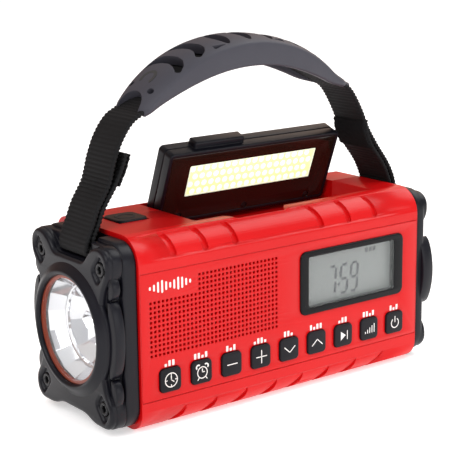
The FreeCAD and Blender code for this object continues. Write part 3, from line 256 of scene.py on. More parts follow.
def make_materials():
    """Every material: two tones, roughness range, grain in mm, then shine, metal or alpha."""
    m = MATERIALS
    m["red"] = moulded("red_shell", (0.58, 0.002, 0.003), (0.63, 0.004, 0.005), 0.26, 0.36, 0, 0.26)
    m["black"] = moulded(
        "black_plastic", (0.004, 0.004, 0.007), (0.006, 0.006, 0.01), 0.28, 0.4, shine=0.22
    )
    m["key"] = moulded("button_black", (0.006, 0.006, 0.0085), (0.01, 0.01, 0.013), 0.3, 0.4, shine=0.16)
    m["gloss"] = moulded(
        "display_black", (0.004, 0.004, 0.005), (0.006, 0.006, 0.007), 0.06, 0.12, 0, 0.14
    )
    m["flap_gloss"] = moulded(
        "flap_gloss", (0.013, 0.006, 0.004), (0.018, 0.008, 0.006), 0.1, 0.18, 0, 0.3
    )
    m["rubber"] = moulded(
        "grip_rubber", (0.034, 0.033, 0.045), (0.046, 0.045, 0.058), 0.5, 0.65, 0.03, 0.4
    )
    m["soft_rubber"] = moulded("rubber_black", (0.02, 0.02, 0.02), (0.03, 0.03, 0.03), 0.6, 0.75, 0.03)
    m["brown"] = moulded("ring_brown", (0.22, 0.035, 0.015), (0.3, 0.05, 0.02), 0.3, 0.4, 0)
    m["webbing"] = moulded(
        "webbing_black", (0.003, 0.003, 0.0035), (0.007, 0.007, 0.008), 0.7, 0.85, 0.06, 0.25
    )
    m["board"] = moulded("board_green", (0.01, 0.12, 0.05), (0.02, 0.16, 0.07), 0.3, 0.45)
    m["nylon"] = moulded("nylon", (0.6, 0.56, 0.46), (0.7, 0.67, 0.58), 0.4, 0.55)
    m["cell"] = moulded("cell_wrap", (0.03, 0.09, 0.3), (0.05, 0.12, 0.38), 0.25, 0.4, 0)
    m["paper"] = moulded("cone_paper", (0.015, 0.015, 0.015), (0.03, 0.03, 0.03), 0.8, 0.95, 0.05)
    m["solar"] = moulded("solar_dark", (0.006, 0.008, 0.03), (0.01, 0.014, 0.05), 0.1, 0.2, 0)
    m["led"] = moulded("led_yellow", (0.75, 0.6, 0.2), (0.85, 0.75, 0.35), 0.3, 0.4, 0)
    m["print"] = moulded("print_white", (0.78, 0.74, 0.7), (0.86, 0.84, 0.82), 0.4, 0.5, 0)
    m["lcd"] = moulded("display_grey", (0.15, 0.165, 0.16), (0.18, 0.195, 0.19), 0.3, 0.4, 0)
    m["segment"] = moulded("display_digit", (0.02, 0.022, 0.03), (0.03, 0.032, 0.04), 0.4, 0.5, 0)
    m["steel"] = moulded("steel", (0.4, 0.4, 0.41), (0.5, 0.5, 0.51), 0.25, 0.4, 0, metal=1)
    m["black_steel"] = moulded(
        "black_steel", (0.02, 0.02, 0.022), (0.04, 0.04, 0.042), 0.3, 0.45, 0, metal=0.8
    )
    m["chrome"] = moulded("antenna_chrome", (0.8, 0.8, 0.8), (0.88, 0.88, 0.88), 0.06, 0.14, 0, metal=1)
    m["mirror"] = moulded(
        "reflector_chrome", (0.86, 0.87, 0.9), (0.93, 0.94, 0.96), 0.03, 0.08, 0, metal=1
    )
    for name, tint, alpha in (("clear", (0.9, 0.93, 0.95), 0.14), ("window", (0.7, 0.75, 0.73), 0.08)):
        m[name] = moulded(name + "_plastic", tint, tint, 0.02, 0.06, 0, 0.8, alpha=alpha)
    # Red backing seen through the grille holes: red like the plastic there, but brighter than the shell red
    # to paint in light bouncing inside the holes.
    m["grille_backing_painted_bounce"] = moulded("grille_backing_painted_bounce", (0.8, 0.004, 0.004), (0.9, 0.006, 0.006), 0.7, 0.85)
    m["fleece"] = moulded("fleece", (0.003, 0.003, 0.0035), (0.008, 0.008, 0.009), 0.9, 1.0, 0.2, 0.2)
    m["glow"] = glowing("light_diffuser", (0.84, 0.87, 0.36), (0.92, 0.94, 0.5), 0.6)
    m["glow_dot"] = glowing("light_diode", (0.98, 0.99, 0.72), (1, 1, 0.86), 0.85)
    m["glow_edge"] = glowing("light_edge", (0.75, 0.85, 0.6), (0.85, 0.92, 0.75), 0.5)
    for key in ("red", "rubber", "gloss", "key", "black_steel", "steel", "mirror"):
        round_shading(m[key], 0.35)
    round_shading(m["black"], 0.5)


# ---------------- CAD nodes that stay
NODE_MATERIALS = {
    "red": ["front_shell", "rear_shell", "front_panel"],
    "black": ["left_cap", "right_cap", "lamp_bezel", "flap_frame", "crank_arm", "crank_knob"],
    "gloss": ["display_bezel"],
    "window": ["display_window"],
    "lcd": ["display_module"],
    "board": ["main_board"],
    "soft_rubber": ["port_cover", "key_switches", "battery_holder", "gear_plate"],
    "paper": ["speaker_cone"],
    "black_steel": ["speaker_frame", "cap_screws", "rear_screws", "flap_screws"],
    "steel": [
        "speaker_magnet", "generator", "hinge_pins", "strap_bars", "antenna_pin", "ports", "crank_shaft",
        "knob_spindle",
    ],
    "cell": ["battery_cells"],
    "brown": ["lamp_gasket"],
    "clear": ["lamp_lens"],
    "mirror": ["reflector"],
    "led": ["lamp_led", "light_board"],
    "webbing": ["strap_loops", "handle_webbing", "handle_tails"],
    "rubber": ["handle_grip"],
    "flap_gloss": ["flap_face"],
    "glow": ["light_window"],
    "solar": ["solar_cell"],
    "nylon": ["drive_gear", "idler_gear", "generator_pinion"],
    "chrome": ["antenna_knuckle", "antenna_tube", "antenna_middle", "antenna_end"],
}


def dress_nodes():
    """Gives every CAD node its material; the nodes that no list names are keys."""
    material_of = {node: key for key, nodes in NODE_MATERIALS.items() for node in nodes}
    for name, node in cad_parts.items():
        node.data.materials.clear()
        node.data.materials.append(MATERIALS[material_of.get(name, "key")])


# ---------------- outlines and meshes
def arc_line(centre, radius, start, end, steps):
    """Points on an arc, angles in degrees from the first axis, both ends included."""
    found = []
    for k in range(steps + 1):
        angle = math.radians(start + (end - start) * k / steps)
        found.append((centre[0] + radius * math.cos(angle), centre[1] + radius * math.sin(angle)))
    return found


def circle(across, up, radius, steps=32):
    return arc_line((across, up), radius, 0, 360 - 360 / steps, steps - 1)


def rounded_rect(left, low, right, top, radius, steps=6):
    """Rectangle with round corners, anticlockwise."""
    corners = [
        ((right - radius, top - radius), 0),
        ((left + radius, top - radius), 90),
        ((left + radius, low + radius), 180),
        ((right - radius, low + radius), 270),
    ]
    found = []
    for centre, start in corners:
        found += arc_line(centre, radius, start, start + 90, steps)
    return found


def corner_curve(before, here, after, reach, steps):
    """Points of the quadratic curve that rounds one corner."""
    start = here + (before - here).normalized() * reach
    end = here + (after - here).normalized() * reach
    found = []
    for step in range(steps + 1):
        t = step / steps
        spot = start * (1 - t) ** 2 + here * 2 * t * (1 - t) + end * t**2
        found.append((spot.x, spot.y))
    return found


def rounded(points, radius, steps=5):
    """Closed outline with every corner rounded; radius may be one per corner."""
    count = len(points)
    radii = radius if isinstance(radius, list) else [radius] * count
    found = []
    for k, point in enumerate(points):
        here = Vector(point)
        before = Vector(points[k - 1])
        after = Vector(points[(k + 1) % count])
        reach = min(radii[k], (before - here).length * 0.49, (after - here).length * 0.49)
        found += corner_curve(before, here, after, reach, steps)
    return found


def rounded_open(points, radius):
    """Open line with its inner corners rounded."""
    found = [points[0]]
    for ends in zip(points, points[1:], points[2:]):
        before, here, after = map(Vector, ends)
        reach = min(radius, (before - here).length * 0.45, (after - here).length * 0.45)
        found += corner_curve(before, here, after, reach, 3)
    return found + [points[-1]]


def bar(start, end, width, steps=5):
    """Outline of a line with round ends."""
    run = Vector(end) - Vector(start)
    angle = math.degrees(math.atan2(run.y, run.x))
    half = width / 2
    return arc_line(end, half, angle - 90, angle + 90, steps) + arc_line(
        start, half, angle + 90, angle + 270, steps
    )


FACING = {
    "front": Matrix(((1, 0, 0), (0, 0, -1), (0, 1, 0))).to_4x4(),
    "left": Matrix(((0, 0, -1), (-1, 0, 0), (0, 1, 0))).to_4x4(),
    "right": Matrix(((0, 0, 1), (1, 0, 0), (0, 1, 0))).to_4x4(),
    "up": Matrix.Identity(4),
}


def plate_mesh(outlines, low, high, facing, bevel=0.0, segments=2):
    """Flat plate with holes, in millimetres, its outer face at high along the way it faces."""
    curve = bpy.data.curves.new("outline", "CURVE")
    curve.dimensions = "2D"
    curve.fill_mode = "BOTH"
    curve.extrude = (high - low) / 2 - bevel
    curve.bevel_depth = bevel
    curve.bevel_resolution = segments
    curve.offset = -bevel
    for outline in outlines:
        spline = curve.splines.new("POLY")
        spline.points.add(len(outline) - 1)
        for point, (across, up) in zip(spline.points, outline):
            point.co = (across, up, 0, 1)
        spline.use_cyclic_u = True
    holder = add_object("outline", curve)
    mesh = evaluated_mesh(holder)
    bpy.data.objects.remove(holder)
    bpy.data.curves.remove(curve)
    mesh.transform(FACING[facing] @ Matrix.Translation((0, 0, (low + high) / 2)))
    return mesh


def tidy_mesh(mesh):
    """Welds the seams that the parts of a mesh share and turns every face outwards."""
    work = bmesh.new()
    work.from_mesh(mesh)
    bmesh.ops.remove_doubles(work, verts=work.verts, dist=0.002)
    bmesh.ops.recalc_face_normals(work, faces=work.faces)
    work.to_mesh(mesh)
    work.free()
    return mesh


def joined(meshes):
    """One mesh from several, each with its own material index kept."""
    work = bmesh.new()
    for mesh in meshes:
        work.from_mesh(mesh)
    whole = bpy.data.meshes.new("joined")
    work.to_mesh(whole)
    work.free()
    return whole


def piece(name, mesh, material, body, replaces=(), smooth=32, blend=None):
    """A finished piece from a mesh in millimetres."""
    mesh = tidy_mesh(mesh)
    mesh.transform(Matrix.Scale(MM, 4))
    mesh.name = name
    mesh.materials.clear()
    mesh.materials.append(MATERIALS[material])
    for face in mesh.polygons:
        face.use_smooth = True
        face.material_index = 0
    mesh.set_sharp_from_angle(angle=math.radians(smooth))
    item = add_object(name, mesh)
    if blend is None:
        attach(item, body)
    else:
        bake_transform(item)
    for node in replaces:
        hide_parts(node)
    return item


def from_grid(rows, closed_across=False, closed_along=False, capped=False):
    """Mesh from rows of points, each joined to the next row."""
    mesh = bpy.data.meshes.new("grid")
    across = len(rows[0])
    points = [point for row in rows for point in row]
    faces = []
    last_row = len(rows) if closed_along else len(rows) - 1
    last_column = across if closed_across else across - 1
    for r in range(last_row):
        here = r * across
        there = (r + 1) % len(rows) * across
        for c in range(last_column):
            right = (c + 1) % across
            faces.append((here + c, here + right, there + right, there + c))
    if capped:
        faces.append(tuple(range(across - 1, -1, -1)))
        faces.append(tuple(range((len(rows) - 1) * across, len(rows) * across)))
    mesh.from_pydata(points, [], faces)
    return mesh


def tube(rows):
    """Closed solid from rows of points that each go once round it."""
    return tidy_mesh(from_grid(rows, closed_across=True, capped=True))


def smooth_route(points, spacing):
    """Even points along a smooth curve through the given points."""
    dense = []
    spots = [Vector(p) for p in points]
    spots = [spots[0] * 2 - spots[1]] + spots + [spots[-1] * 2 - spots[-2]]
    for k in range(1, len(spots) - 2):
        a, b, c, d = spots[k - 1 : k + 3]
        for step in range(24):
            t = step / 24
            bend = (a * 2 - b * 5 + c * 4 - d) * t**2 + (b * 3 - a - c * 3 + d) * t**3
            dense.append(0.5 * (b * 2 + (c - a) * t + bend))
    dense.append(spots[-2])
    lengths = [0.0]
    for k in range(1, len(dense)):
        lengths.append(lengths[-1] + (dense[k] - dense[k - 1]).length)
    count = max(2, round(lengths[-1] / spacing))
    found = []
    k = 0
    for step in range(count + 1):
        wanted = lengths[-1] * step / count
        while k < len(lengths) - 2 and lengths[k + 1] < wanted:
            k += 1
        share = (wanted - lengths[k]) / max(lengths[k + 1] - lengths[k], 1e-9)
        found.append(dense[k].lerp(dense[k + 1], min(share, 1)))
    return found


# ---------------- front panel
KEYS = ["time", "alarm", "volume_down", "volume_up", "tune_down", "tune_up", "scan", "band", "power"]
KEY_FLANGE = 0.6
KEY_FIT = 0.15
FACE = -FRONT


def front_rect(node, inset, corner, steps=6):
    """Rounded outline of a node's box as seen from the front, drawn in by an inset."""
    low, high = node_box(node)
    return rounded_rect(low.x + inset, low.z + inset, high.x - inset, high.z - inset, corner, steps)


def grille_holes():
    """Square holes of the speaker grille: a wide low field and a narrower high one."""
    pitch = 1.9
    side = 1.05
    holes = []
    left = PANEL_LOW.x + 3.7
    low = 29.6
    for column in range(33):
        x = left + column * pitch
        for row in range(12 if column < 12 else 16):
            z = low + row * pitch
            holes.append(rounded_rect(x, z, x + side, z + side, 0.15, 1))
    return holes


def make_panel():
    side = HALF_LONG - 0.08
    outlines = [rounded_rect(-side, PANEL_LOW.z, side, PANEL_HIGH.z, 0.4, 3)]
    outlines += [front_rect("button_" + name, KEY_FLANGE - KEY_FIT, 2, 5) for name in KEYS]
    outlines.append(front_rect("display_bezel", 0, 3))
    outlines += grille_holes()
    mesh = plate_mesh(outlines, FACE - 2, FACE, "front", 0.14, 1)
    piece("front_panel_face", mesh, "red", "case", ["front_panel"])
    # Red backing behind the grille holes; its colour is partly painted light, brighter than the shell to
    # stand in for light bouncing in the holes.
    back = [rounded_rect(-HALF_LONG + 3, 26, 5, 62, 1)]
    mesh = plate_mesh(back, FACE - 3.2, FACE - 2.6, "front")
    piece("grille_backing_painted_bounce", mesh, "grille_backing_painted_bounce", "case")


def print_mesh(shapes, high, facing, thick=0.06):
    """Printed marks: each shape is a list of outlines on a thin raised film."""
    return joined([plate_mesh(shape, high - 0.02, high + thick, facing) for shape in shapes])


def ring_shape(across, up, radius, width):
    return [circle(across, up, radius + width / 2), circle(across, up, radius - width / 2)]


def arc_shape(across, up, radius, width, start, end):
    outer = arc_line((across, up), radius + width / 2, start, end, 20)
    inner = arc_line((across, up), radius - width / 2, end, start, 20)
    return [outer + inner]


def strokes(width, *lines):
    """One bar for each (across, up, across, up) line."""
    return [[bar(line[:2], line[2:], width)] for line in lines]


def moved(shapes, across, up):
    """Shapes drawn about the origin, taken to their place."""
    return [[[(a + across, b + up) for a, b in outline] for outline in shape] for shape in shapes]


def icon_shapes(name):
    """Strokes of the pictogram on a key, drawn about the origin."""
    w = 0.4
    if name == "time":
        ticks = [(1.9 * a, 1.9 * b, 2.5 * a, 2.5 * b) for a, b in ((1, 0), (-1, 0), (0, 1), (0, -1))]
        hands = strokes(w, (0, 0, 0, 1.6), (0, 0, 1.2, -0.8))
        return [ring_shape(0, 0, 2.8, w)] + strokes(0.35, *ticks) + hands
    if name == "alarm":
        bells = [arc_shape(-1.9, 2.2, 0.9, 0.6, 45, 225), arc_shape(1.9, 2.2, 0.9, 0.6, -45, 135)]
        feet = strokes(w, (-1.6, -2.2, -2.2, -3), (1.6, -2.2, 2.2, -3))
        hands = strokes(w, (0, 0, 0, 1.3), (0, 0, 1, 0))
        return [ring_shape(0, -0.2, 2.3, w)] + bells + feet + hands
    if name == "volume_down":
        return strokes(w, (-2.4, 0, 2.4, 0))
    if name == "volume_up":
        return strokes(w, (-2.6, 0, 2.6, 0), (0, -2.6, 0, 2.6))
    if name == "tune_down":
        return strokes(w, (-2.7, 1.1, 0, -1.3), (0, -1.3, 2.7, 1.1))
    if name == "tune_up":
        return strokes(w, (-2.7, -1.1, 0, 1.3), (0, 1.3, 2.7, -1.1))
    if name == "scan":
        return [[[(-1.7, -1.9), (1, 0), (-1.7, 1.9)]]] + strokes(w, (1.9, -1.8, 1.9, 1.8))
    if name == "band":
        return strokes(w, *[(k * 1.25, -1.7, k * 1.25, 0.4 + k * 0.75) for k in range(-2, 3)])
    return [arc_shape(0, -0.2, 2.1, w, 125, 415)] + strokes(w, (0, 0.2, 0, 2.7))


def make_keys():
    for name in KEYS:
        node = "button_" + name
        low, high = node_box(node)
        middle_x, _, middle_z = (low + high) / 2
        stem = rounded_rect(middle_x - 1.5, middle_z - 1.5, middle_x + 1.5, middle_z + 1.5, 0.3)
        meshes = [
            plate_mesh([front_rect(node, KEY_FLANGE, 1.8)], FACE - 2.1, -low.y, "front", 0.45, 3),
            plate_mesh([front_rect(node, 0, 1.5, 4)], FACE - 2.9, FACE - 2.1, "front"),
            plate_mesh([stem], FACE - 3.7, FACE - 2.9, "front"),
        ]
        piece(node + "_cap", joined(meshes), "key", node, [node])
        marks = print_mesh(moved(icon_shapes(name), middle_x, middle_z), -low.y, "front")
        piece(node + "_icon", marks, "print", node)


def label_shapes(index, x, z):
    """A generic mark above a key: a short row of bars and dots."""
    shapes = []
    count = 3 + index % 2
    pitch = 1.75
    for k in range(count):
        centre = x + (k - (count - 1) / 2) * pitch
        tall = 2.3 if (k + index) % 3 else 1.2
        shapes.append([rounded_rect(centre - 0.55, z, centre + 0.55, z + tall, 0.2, 2)])
    return shapes


def make_print():
    """White marks on the panel: a row above the keys and a sound-wave mark by the grille."""
    shapes = []
    for index, name in enumerate(KEYS):
        low, high = node_box("button_" + name)
        shapes += label_shapes(index, (low.x + high.x) / 2, high.z - KEY_FLANGE + 0.6)
    heights = [1.4, 2.6, 4.2, 5.0, 3.4, 2.2, 3.6, 5.0, 4.4, 2.8, 1.6]
    first, pitch, wide, middle = -67.6, 1.85, 0.85, 56.9
    for k, tall in enumerate(heights):
        x = first + k * pitch
        shapes.append([rounded_rect(x, middle - tall / 2, x + wide, middle + tall / 2, 0.4, 3)])
    piece("panel_print", print_mesh(shapes, FACE, "front", 0.04), "print", "case")


# ---------------- display and top key
SEGMENTS = {"5": "afgcd", "7": "abc", "9": "abcdfg"}
DIGIT_LEAN = 0.06


def digit_shapes(digit, left, low, wide, high):
    """Bars of a seven-segment digit, leaning a little to the right."""
    w = 1.25
    half = high / 2
    ends = {
        "a": ((0, high), (wide, high)),
        "b": ((wide, high), (wide, half)),
        "c": ((wide, half), (wide, 0)),
        "d": ((0, 0), (wide, 0)),
        "e": ((0, half), (0, 0)),
        "f": ((0, high), (0, half)),
        "g": ((0, half), (wide, half)),
    }
    shapes = []
    for letter in SEGMENTS[digit]:
        (x0, z0), (x1, z1) = ends[letter]
        run = Vector((x1 - x0, z1 - z0)).normalized() * 0.62
        start = (left + x0 + run.x + z0 * DIGIT_LEAN, low + z0 + run.y)
        end = (left + x1 - run.x + z1 * DIGIT_LEAN, low + z1 - run.y)
        shapes.append([bar(start, end, w, 1)])
    return shapes


def make_display():
    low, high = node_box("display_bezel")
    outlines = [front_rect("display_bezel", 0, 3), front_rect("display_window", 0, 0.8)]
    rim = plate_mesh(outlines, -high.y, -low.y, "front", 0.5, 3)
    piece("display_rim", rim, "gloss", "case", ["display_bezel"])
    left, bottom, wide, tall = 23.4, 37, 3.7, 12.2
    pitch, colon = 5.6, 1
    shapes = []
    for k, digit in enumerate("759"):
        shapes += digit_shapes(digit, left + k * pitch + (colon if k else 0), bottom, wide, tall)
    for z in (41, 45.8):
        shapes.append([circle(29.2 + (z - bottom) * DIGIT_LEAN, z, 0.6, 12)])
    for x in (44, 46.2, 48.4):
        shapes.append([rounded_rect(x, 52.4, x + 1.5, 54.4, 0.3, 2)])
    module_face = -node_box("display_module")[0].y
    digits = print_mesh(shapes, module_face, "front", 0.05)
    piece("display_digits", digits, "segment", "case")


def make_lamp_key():
    low, high = node_box("button_lamp")
    flange = 0.8
    left, right = low.x + flange, high.x - flange
    front, rear = low.y + flange, high.y - flange
    outline = [rounded_rect(left, front, right, rear, 3, 8)]
    rim = [rounded_rect(low.x, low.y, high.x, high.y, 3.4, 6)]
    meshes = [
        plate_mesh(outline, TOP - 1.6, high.z, "up", 0.6, 4),
        plate_mesh(outline, TOP - 2.4, TOP - 1.6, "up"),
        plate_mesh(rim, low.z, TOP - 2.4, "up"),
    ]
    piece("button_lamp_cap", joined(meshes), "key", "button_lamp", ["button_lamp"])
    bulb = [arc_shape(0.4, 0, 3.2, 0.7, -120, 120)]
    bulb += strokes(0.7, (-1.2, 2.6, -4, 1.5), (-1.2, -2.6, -4, -1.5), (-4, -1.5, -4, 1.5))
    marks = print_mesh(moved(bulb, (left + right) / 2, (front + rear) / 2), high.z, "up", 0.12)
    piece("button_lamp_icon", marks, "soft_rubber", "button_lamp")


# ---------------- handle
# (x, z) points up the outer face of the webbing at each end, and of its folded-back tails.
STRAP_LEFT = [
    (-82.2, 74), (-79.6, 80), (-77, 86), (-72.2, 94), (-69.4, 103), (-65.8, 111), (-60.6, 117.6),
    (-54, 121.4),
]
STRAP_RIGHT = [
    (43.8, 124.2), (50.2, 120.9), (54.4, 116), (58.5, 109), (61.9, 102), (67.2, 94), (73.2, 86), (76.6, 80),
    (78.6, 74),
]
TAIL_LEFT = [(-63.8, 105.5), (-65.8, 100), (-69, 94), (-74.4, 86), (-77, 80), (-79.7, 74)]
TAIL_RIGHT = [(76.2, 74), (74.1, 80), (70.8, 86), (64.6, 94), (61.6, 100), (61, 105)]
# The webbing runs through the grip as an arc about this point, and loops round a bar at each end.
GRIP_MIDDLE = (-4, 77)
STRAP_ARCH = 64.4
STRAP_THICK = 2
STRAP_STEP = 0.42
RIB_PITCH = 1.7
LEFT_BAR = (-79.8, 70)
RIGHT_BAR = (76.4, 70)
LOOP = 2.3
HOOK_SHIFT = -2.55
HOOK_THICK = 1.0


def square_to(line, k):
    """Unit vector square to a line of points at its k-th point, to the left of its run."""
    run = (Vector(line[min(k + 1, len(line) - 1)]) - Vector(line[max(k - 1, 0)])).normalized()
    return Vector((-run.y, run.x))


def middle_line(face, shift):
    """The points of a face moved sideways, to the right of their run."""
    found = []
    for k, point in enumerate(face):
        out = square_to(face, k)
        found.append((point[0] - out.x * shift, point[1] - out.y * shift))
    return found


def strap_route():
    """Middle line of the one length of webbing, from the left tail's end to the right one's."""
    half = STRAP_THICK / 2
    left_tail = middle_line(TAIL_LEFT, -half)
    left = middle_line(STRAP_LEFT, half)
    reach = STRAP_ARCH - half
    arch = []
    for degrees in range(-36, 33, 6):
        turn = math.radians(degrees)
        arch.append((GRIP_MIDDLE[0] + reach * math.sin(turn), GRIP_MIDDLE[1] + reach * math.cos(turn)))
    right = middle_line(STRAP_RIGHT, half)
    right_tail = middle_line(TAIL_RIGHT, -half)
    turns = []
    for degrees in (10, -40, -90, -140, 170):
        turn = math.radians(degrees)
        turns.append((LOOP * math.cos(turn), LOOP * math.sin(turn)))
    left_loop = [(LEFT_BAR[0] + x, LEFT_BAR[1] + z) for x, z in turns]
    right_loop = [(RIGHT_BAR[0] - x, RIGHT_BAR[1] + z) for x, z in reversed(turns)]
    return left_tail + left_loop + left + arch + right + right_loop + right_tail


def grain(k):
    """A repeatable number from -1 to 1."""
    return math.sin(k * 12.9898) * 43758.5453 % 2 - 1


def ribbon(line, across, shape):
    """Closed strip along a line. At each point, shape gives y and the heights above and below."""
    rows = []
    for k, point in enumerate(line):
        out = square_to(line, k)
        top = []
        low = []
        for j, share in enumerate(across):
            y, above, below = shape(k, j, share)
            top.append((point.x + out.x * above, y, point.y + out.y * above))
            low.append((point.x + out.x * below, y, point.y + out.y * below))
        rows.append(top + low[::-1])
    return tube(rows)


def make_webbing():
    """Ribbed webbing: cross ribs along its length, rounded selvedges, frayed tail ends."""
    line = smooth_route(strap_route(), STRAP_STEP)
    last = len(line) - 1
    across = [-1, -0.985, -0.95] + [k / 9 for k in range(-8, 9)] + [0.95, 0.985, 1]

    def shape(k, j, share):
        rib = abs(math.sin(k * STRAP_STEP * math.pi / RIB_PITCH)) ** 0.7
        frayed = max(0.0, 1 - min(k, last - k) * STRAP_STEP / 2.2)
        half_wide = 9.7 - 0.06 * (1 + math.sin(k * STRAP_STEP / 9)) + 0.3 * rib
        edge = 1 - max(0.0, (abs(share) - 0.93) / 0.07) ** 2
        weave = 0.05 * math.cos(j * math.pi)
        height = (STRAP_THICK / 2 - 0.45 + 0.43 * rib + weave) * (0.25 + 0.75 * edge)
        height *= 1 + 0.35 * frayed * grain(k * 31 + j)
        slip = 0.3 * frayed * grain(k * 17 + j * 3)
        return share * half_wide, slip + height, slip - height

    nodes = ["handle_webbing", "handle_tails", "strap_loops"]
    bend = ((0, 0, 0.078), (0, 0, 0.094))
    mesh = ribbon(line, across, shape)
    piece("handle_strap", mesh, "webbing", ("case", "handle"), nodes, 60, bend)


def hook_layer(name, face):
    """Hook-and-loop strip stitched to a tail, a little narrower and fuzzier than the webbing."""
    half = HOOK_THICK / 2

    def shape(k, j, share):
        edge = 1 - 0.6 * max(0.0, (abs(share) - 0.9) / 0.1) ** 2
        y = share * 9.7 + 0.25 * grain(k * 29) * abs(share)
        return y, half * edge + 0.16 * grain(k * 53 + j * 7), -half

    line = smooth_route(middle_line(face, HOOK_SHIFT), 0.5)
    mesh = ribbon(line, [k / 14 for k in range(-14, 15)], shape)
    piece(name, mesh, "fleece", "handle", (), 60)


def make_hooks():
    hook_layer("strap_hooks_left", TAIL_LEFT[:3])
    hook_layer("strap_hooks_right", TAIL_RIGHT[3:])


# ---------------- grip
GRIP_CROWN = 69
GRIP_FROM = -50.5
GRIP_TO = 51
GRIP_UNDER = 79
GRIP_UNDER_CENTRE = 55
GRIP_NOTCH = 7.4


def grip_section(angle):
    """Outline across the grip at an angle from straight up: (y, radius), anticlockwise."""
    share = min(1, abs(angle + 0.5) / 50)
    half = 14.4 - 3.2 * share**2.5
    if share > 0.94:
        half -= 1.6 * ((share - 0.94) / 0.06) ** 2
    turn = math.radians(angle)
    reach = GRIP_MIDDLE[1] - GRIP_UNDER_CENTRE
    low = math.sqrt(GRIP_UNDER**2 - (reach * math.sin(turn)) ** 2) - reach * math.cos(turn)
    low += (GRIP_CROWN - 4.6 - low) * share**7
    inner = STRAP_ARCH + 0.4
    right = [
        (half - 3.2, max(inner, low + 0.8)),
        (half - 3.2, low + 0.5),
        (half - 2.7, low),
        (half - 0.9, low),
        (half - 0.35, low + 0.5),
    ]
    steps = 4
    side_top = GRIP_CROWN - 3.8
    for k in range(1, steps + 1):
        part = k / steps
        right.append((half - 0.35 * (1 - part) ** 2, low + 0.5 + (side_top - low - 0.5) * part))
    centre = (half - 1.6, side_top + 0.1)
    right += arc_line(centre, 1.6, 12, 62, 3)
    brow_y, brow_r = right[-1]
    for k in range(1, 9):
        y = brow_y * (1 - k / 9)
        right.append((y, GRIP_CROWN - (GRIP_CROWN - brow_r) * (y / brow_y) ** 3))
    left = [(-y, r) for y, r in reversed(right)]
    return right + [(0, GRIP_CROWN)] + left


def on_grip(angle, y, radius):
    """Place of a point at an angle, y and radius; the right end flares out a little."""
    turn = math.radians(angle)
    radius += 0.03 * max(0, angle - 40) ** 2
    return GRIP_MIDDLE[0] + radius * math.sin(turn), y, GRIP_MIDDLE[1] + radius * math.cos(turn)


def crescent(back):
    """Blunt-armed crescent on the crown whose back is at the angle: (angle, y) points."""
    shape = [
        (-8.2, 9.8), (-5.2, 10.2), (-2.4, 9), (-0.6, 6), (0, 1.8), (0, -3.6), (-0.8, -7.8), (-2.6, -10.6),
        (-5.6, -12.2), (-6.8, -10.4), (-5, -7.4), (-4.1, -3.4), (-4.3, 1), (-5.2, 4.8), (-6.8, 8),
    ]
    return rounded([(back + a, y) for a, y in shape], 0.9, 3)


def slanted_oval(angle, y, long, wide, lean):
    """Oval on the crown whose long way leans from the y axis: (angle, y) points."""
    turn = math.radians(lean)
    found = []
    for step in range(24):
        t = step * math.tau / 24
        a = long * math.cos(t)
        b = wide * math.sin(t)
        round_it = b * math.cos(turn) + a * math.sin(turn)
        along_y = y + a * math.cos(turn) - b * math.sin(turn)
        found.append((angle + math.degrees(round_it / GRIP_CROWN), along_y))
    return found


def grip_openings():
    """Openings in the crown as (angle, y) outlines."""
    left = [
        slanted_oval(-40.8, 7.6, 1.6, 1.3, 0),
        slanted_oval(-42.4, -7.4, 1.6, 1.3, 0),
        crescent(-26),
        crescent(-16.6),
        rounded([(-15.6, -9.4), (-15.8, -12.2), (-10.6, -11.6)], 0.7, 3),
        rounded([(-15.6, 8.4), (-10.4, 9.6), (-11.8, 11.2)], 0.7, 3),
    ]
    openings = []
    for outline in left:
        openings.append(outline)
        openings.append([(-1.6 - angle, y) for angle, y in outline])
    for angle in (-8.4, 0.6, 9.8):
        openings.append(slanted_oval(angle, -0.8, 11, 2.7, 8))
    return openings


def grip_plug(outline, low, high):
    """Solid under an (angle, y) outline, between two distances from the grip's middle."""
    rows = [[on_grip(a, y, radius) for a, y in outline] for radius in (low, high)]
    return tube(rows)


def grip_end_notch(end, sign):
    """Round notch in an end of the grip, where the webbing comes out."""
    outline = []
    for k in range(13):
        a = math.pi * (k / 12) - math.pi / 2
        outline.append((end + sign * (1.4 + 5.6 * math.cos(a)), GRIP_NOTCH * math.sin(a)))
    return outline + [(end - sign * 3, GRIP_NOTCH), (end - sign * 3, -GRIP_NOTCH)]


def make_grip():
    rows = []
    steps = 132
    for k in range(steps + 1):
        angle = GRIP_FROM + (GRIP_TO - GRIP_FROM) * k / steps
        rows.append([on_grip(angle, y, r) for y, r in grip_section(angle)])
    body = tube(rows)
    cutters = [grip_plug(outline, STRAP_ARCH - 2, GRIP_CROWN + 3) for outline in grip_openings()]
    for end, sign in ((GRIP_FROM, 1), (GRIP_TO, -1)):
        cutters.append(grip_plug(grip_end_notch(end, sign), STRAP_ARCH - 4, GRIP_CROWN + 3))
    mesh = cut_mesh(body, cutters)
    piece("handle_grip_shell", mesh, "rubber", "handle", ["handle_grip"], 38)
    marks = []
    mark = arc_line((0, 0), 4.2, -125, 125, 18) + arc_line((0, 0), 2.7, 125, -125, 18)
    for angle, sign in ((-37.6, 1), (36, -1)):
        outline = [(angle + sign * math.degrees(a / GRIP_CROWN), y) for a, y in mark]
        marks.append(grip_plug(outline, GRIP_CROWN - 1.2, GRIP_CROWN + 0.05))
    piece("handle_grip_marks", joined(marks), "soft_rubber", "handle")


def cut_mesh(body, cutters):
    """The body with the cutters taken away, as one mesh."""
    items = [add_object("cutting", mesh) for mesh in (body, joined(cutters))]
    taken = items[0].modifiers.new("cut", "BOOLEAN")
    taken.object = items[1]
    taken.operation = "DIFFERENCE"
    taken.solver = "EXACT"
    taken.use_self = True
    mesh = evaluated_mesh(items[0])
    for item in items:
        bpy.data.objects.remove(item)
    return mesh


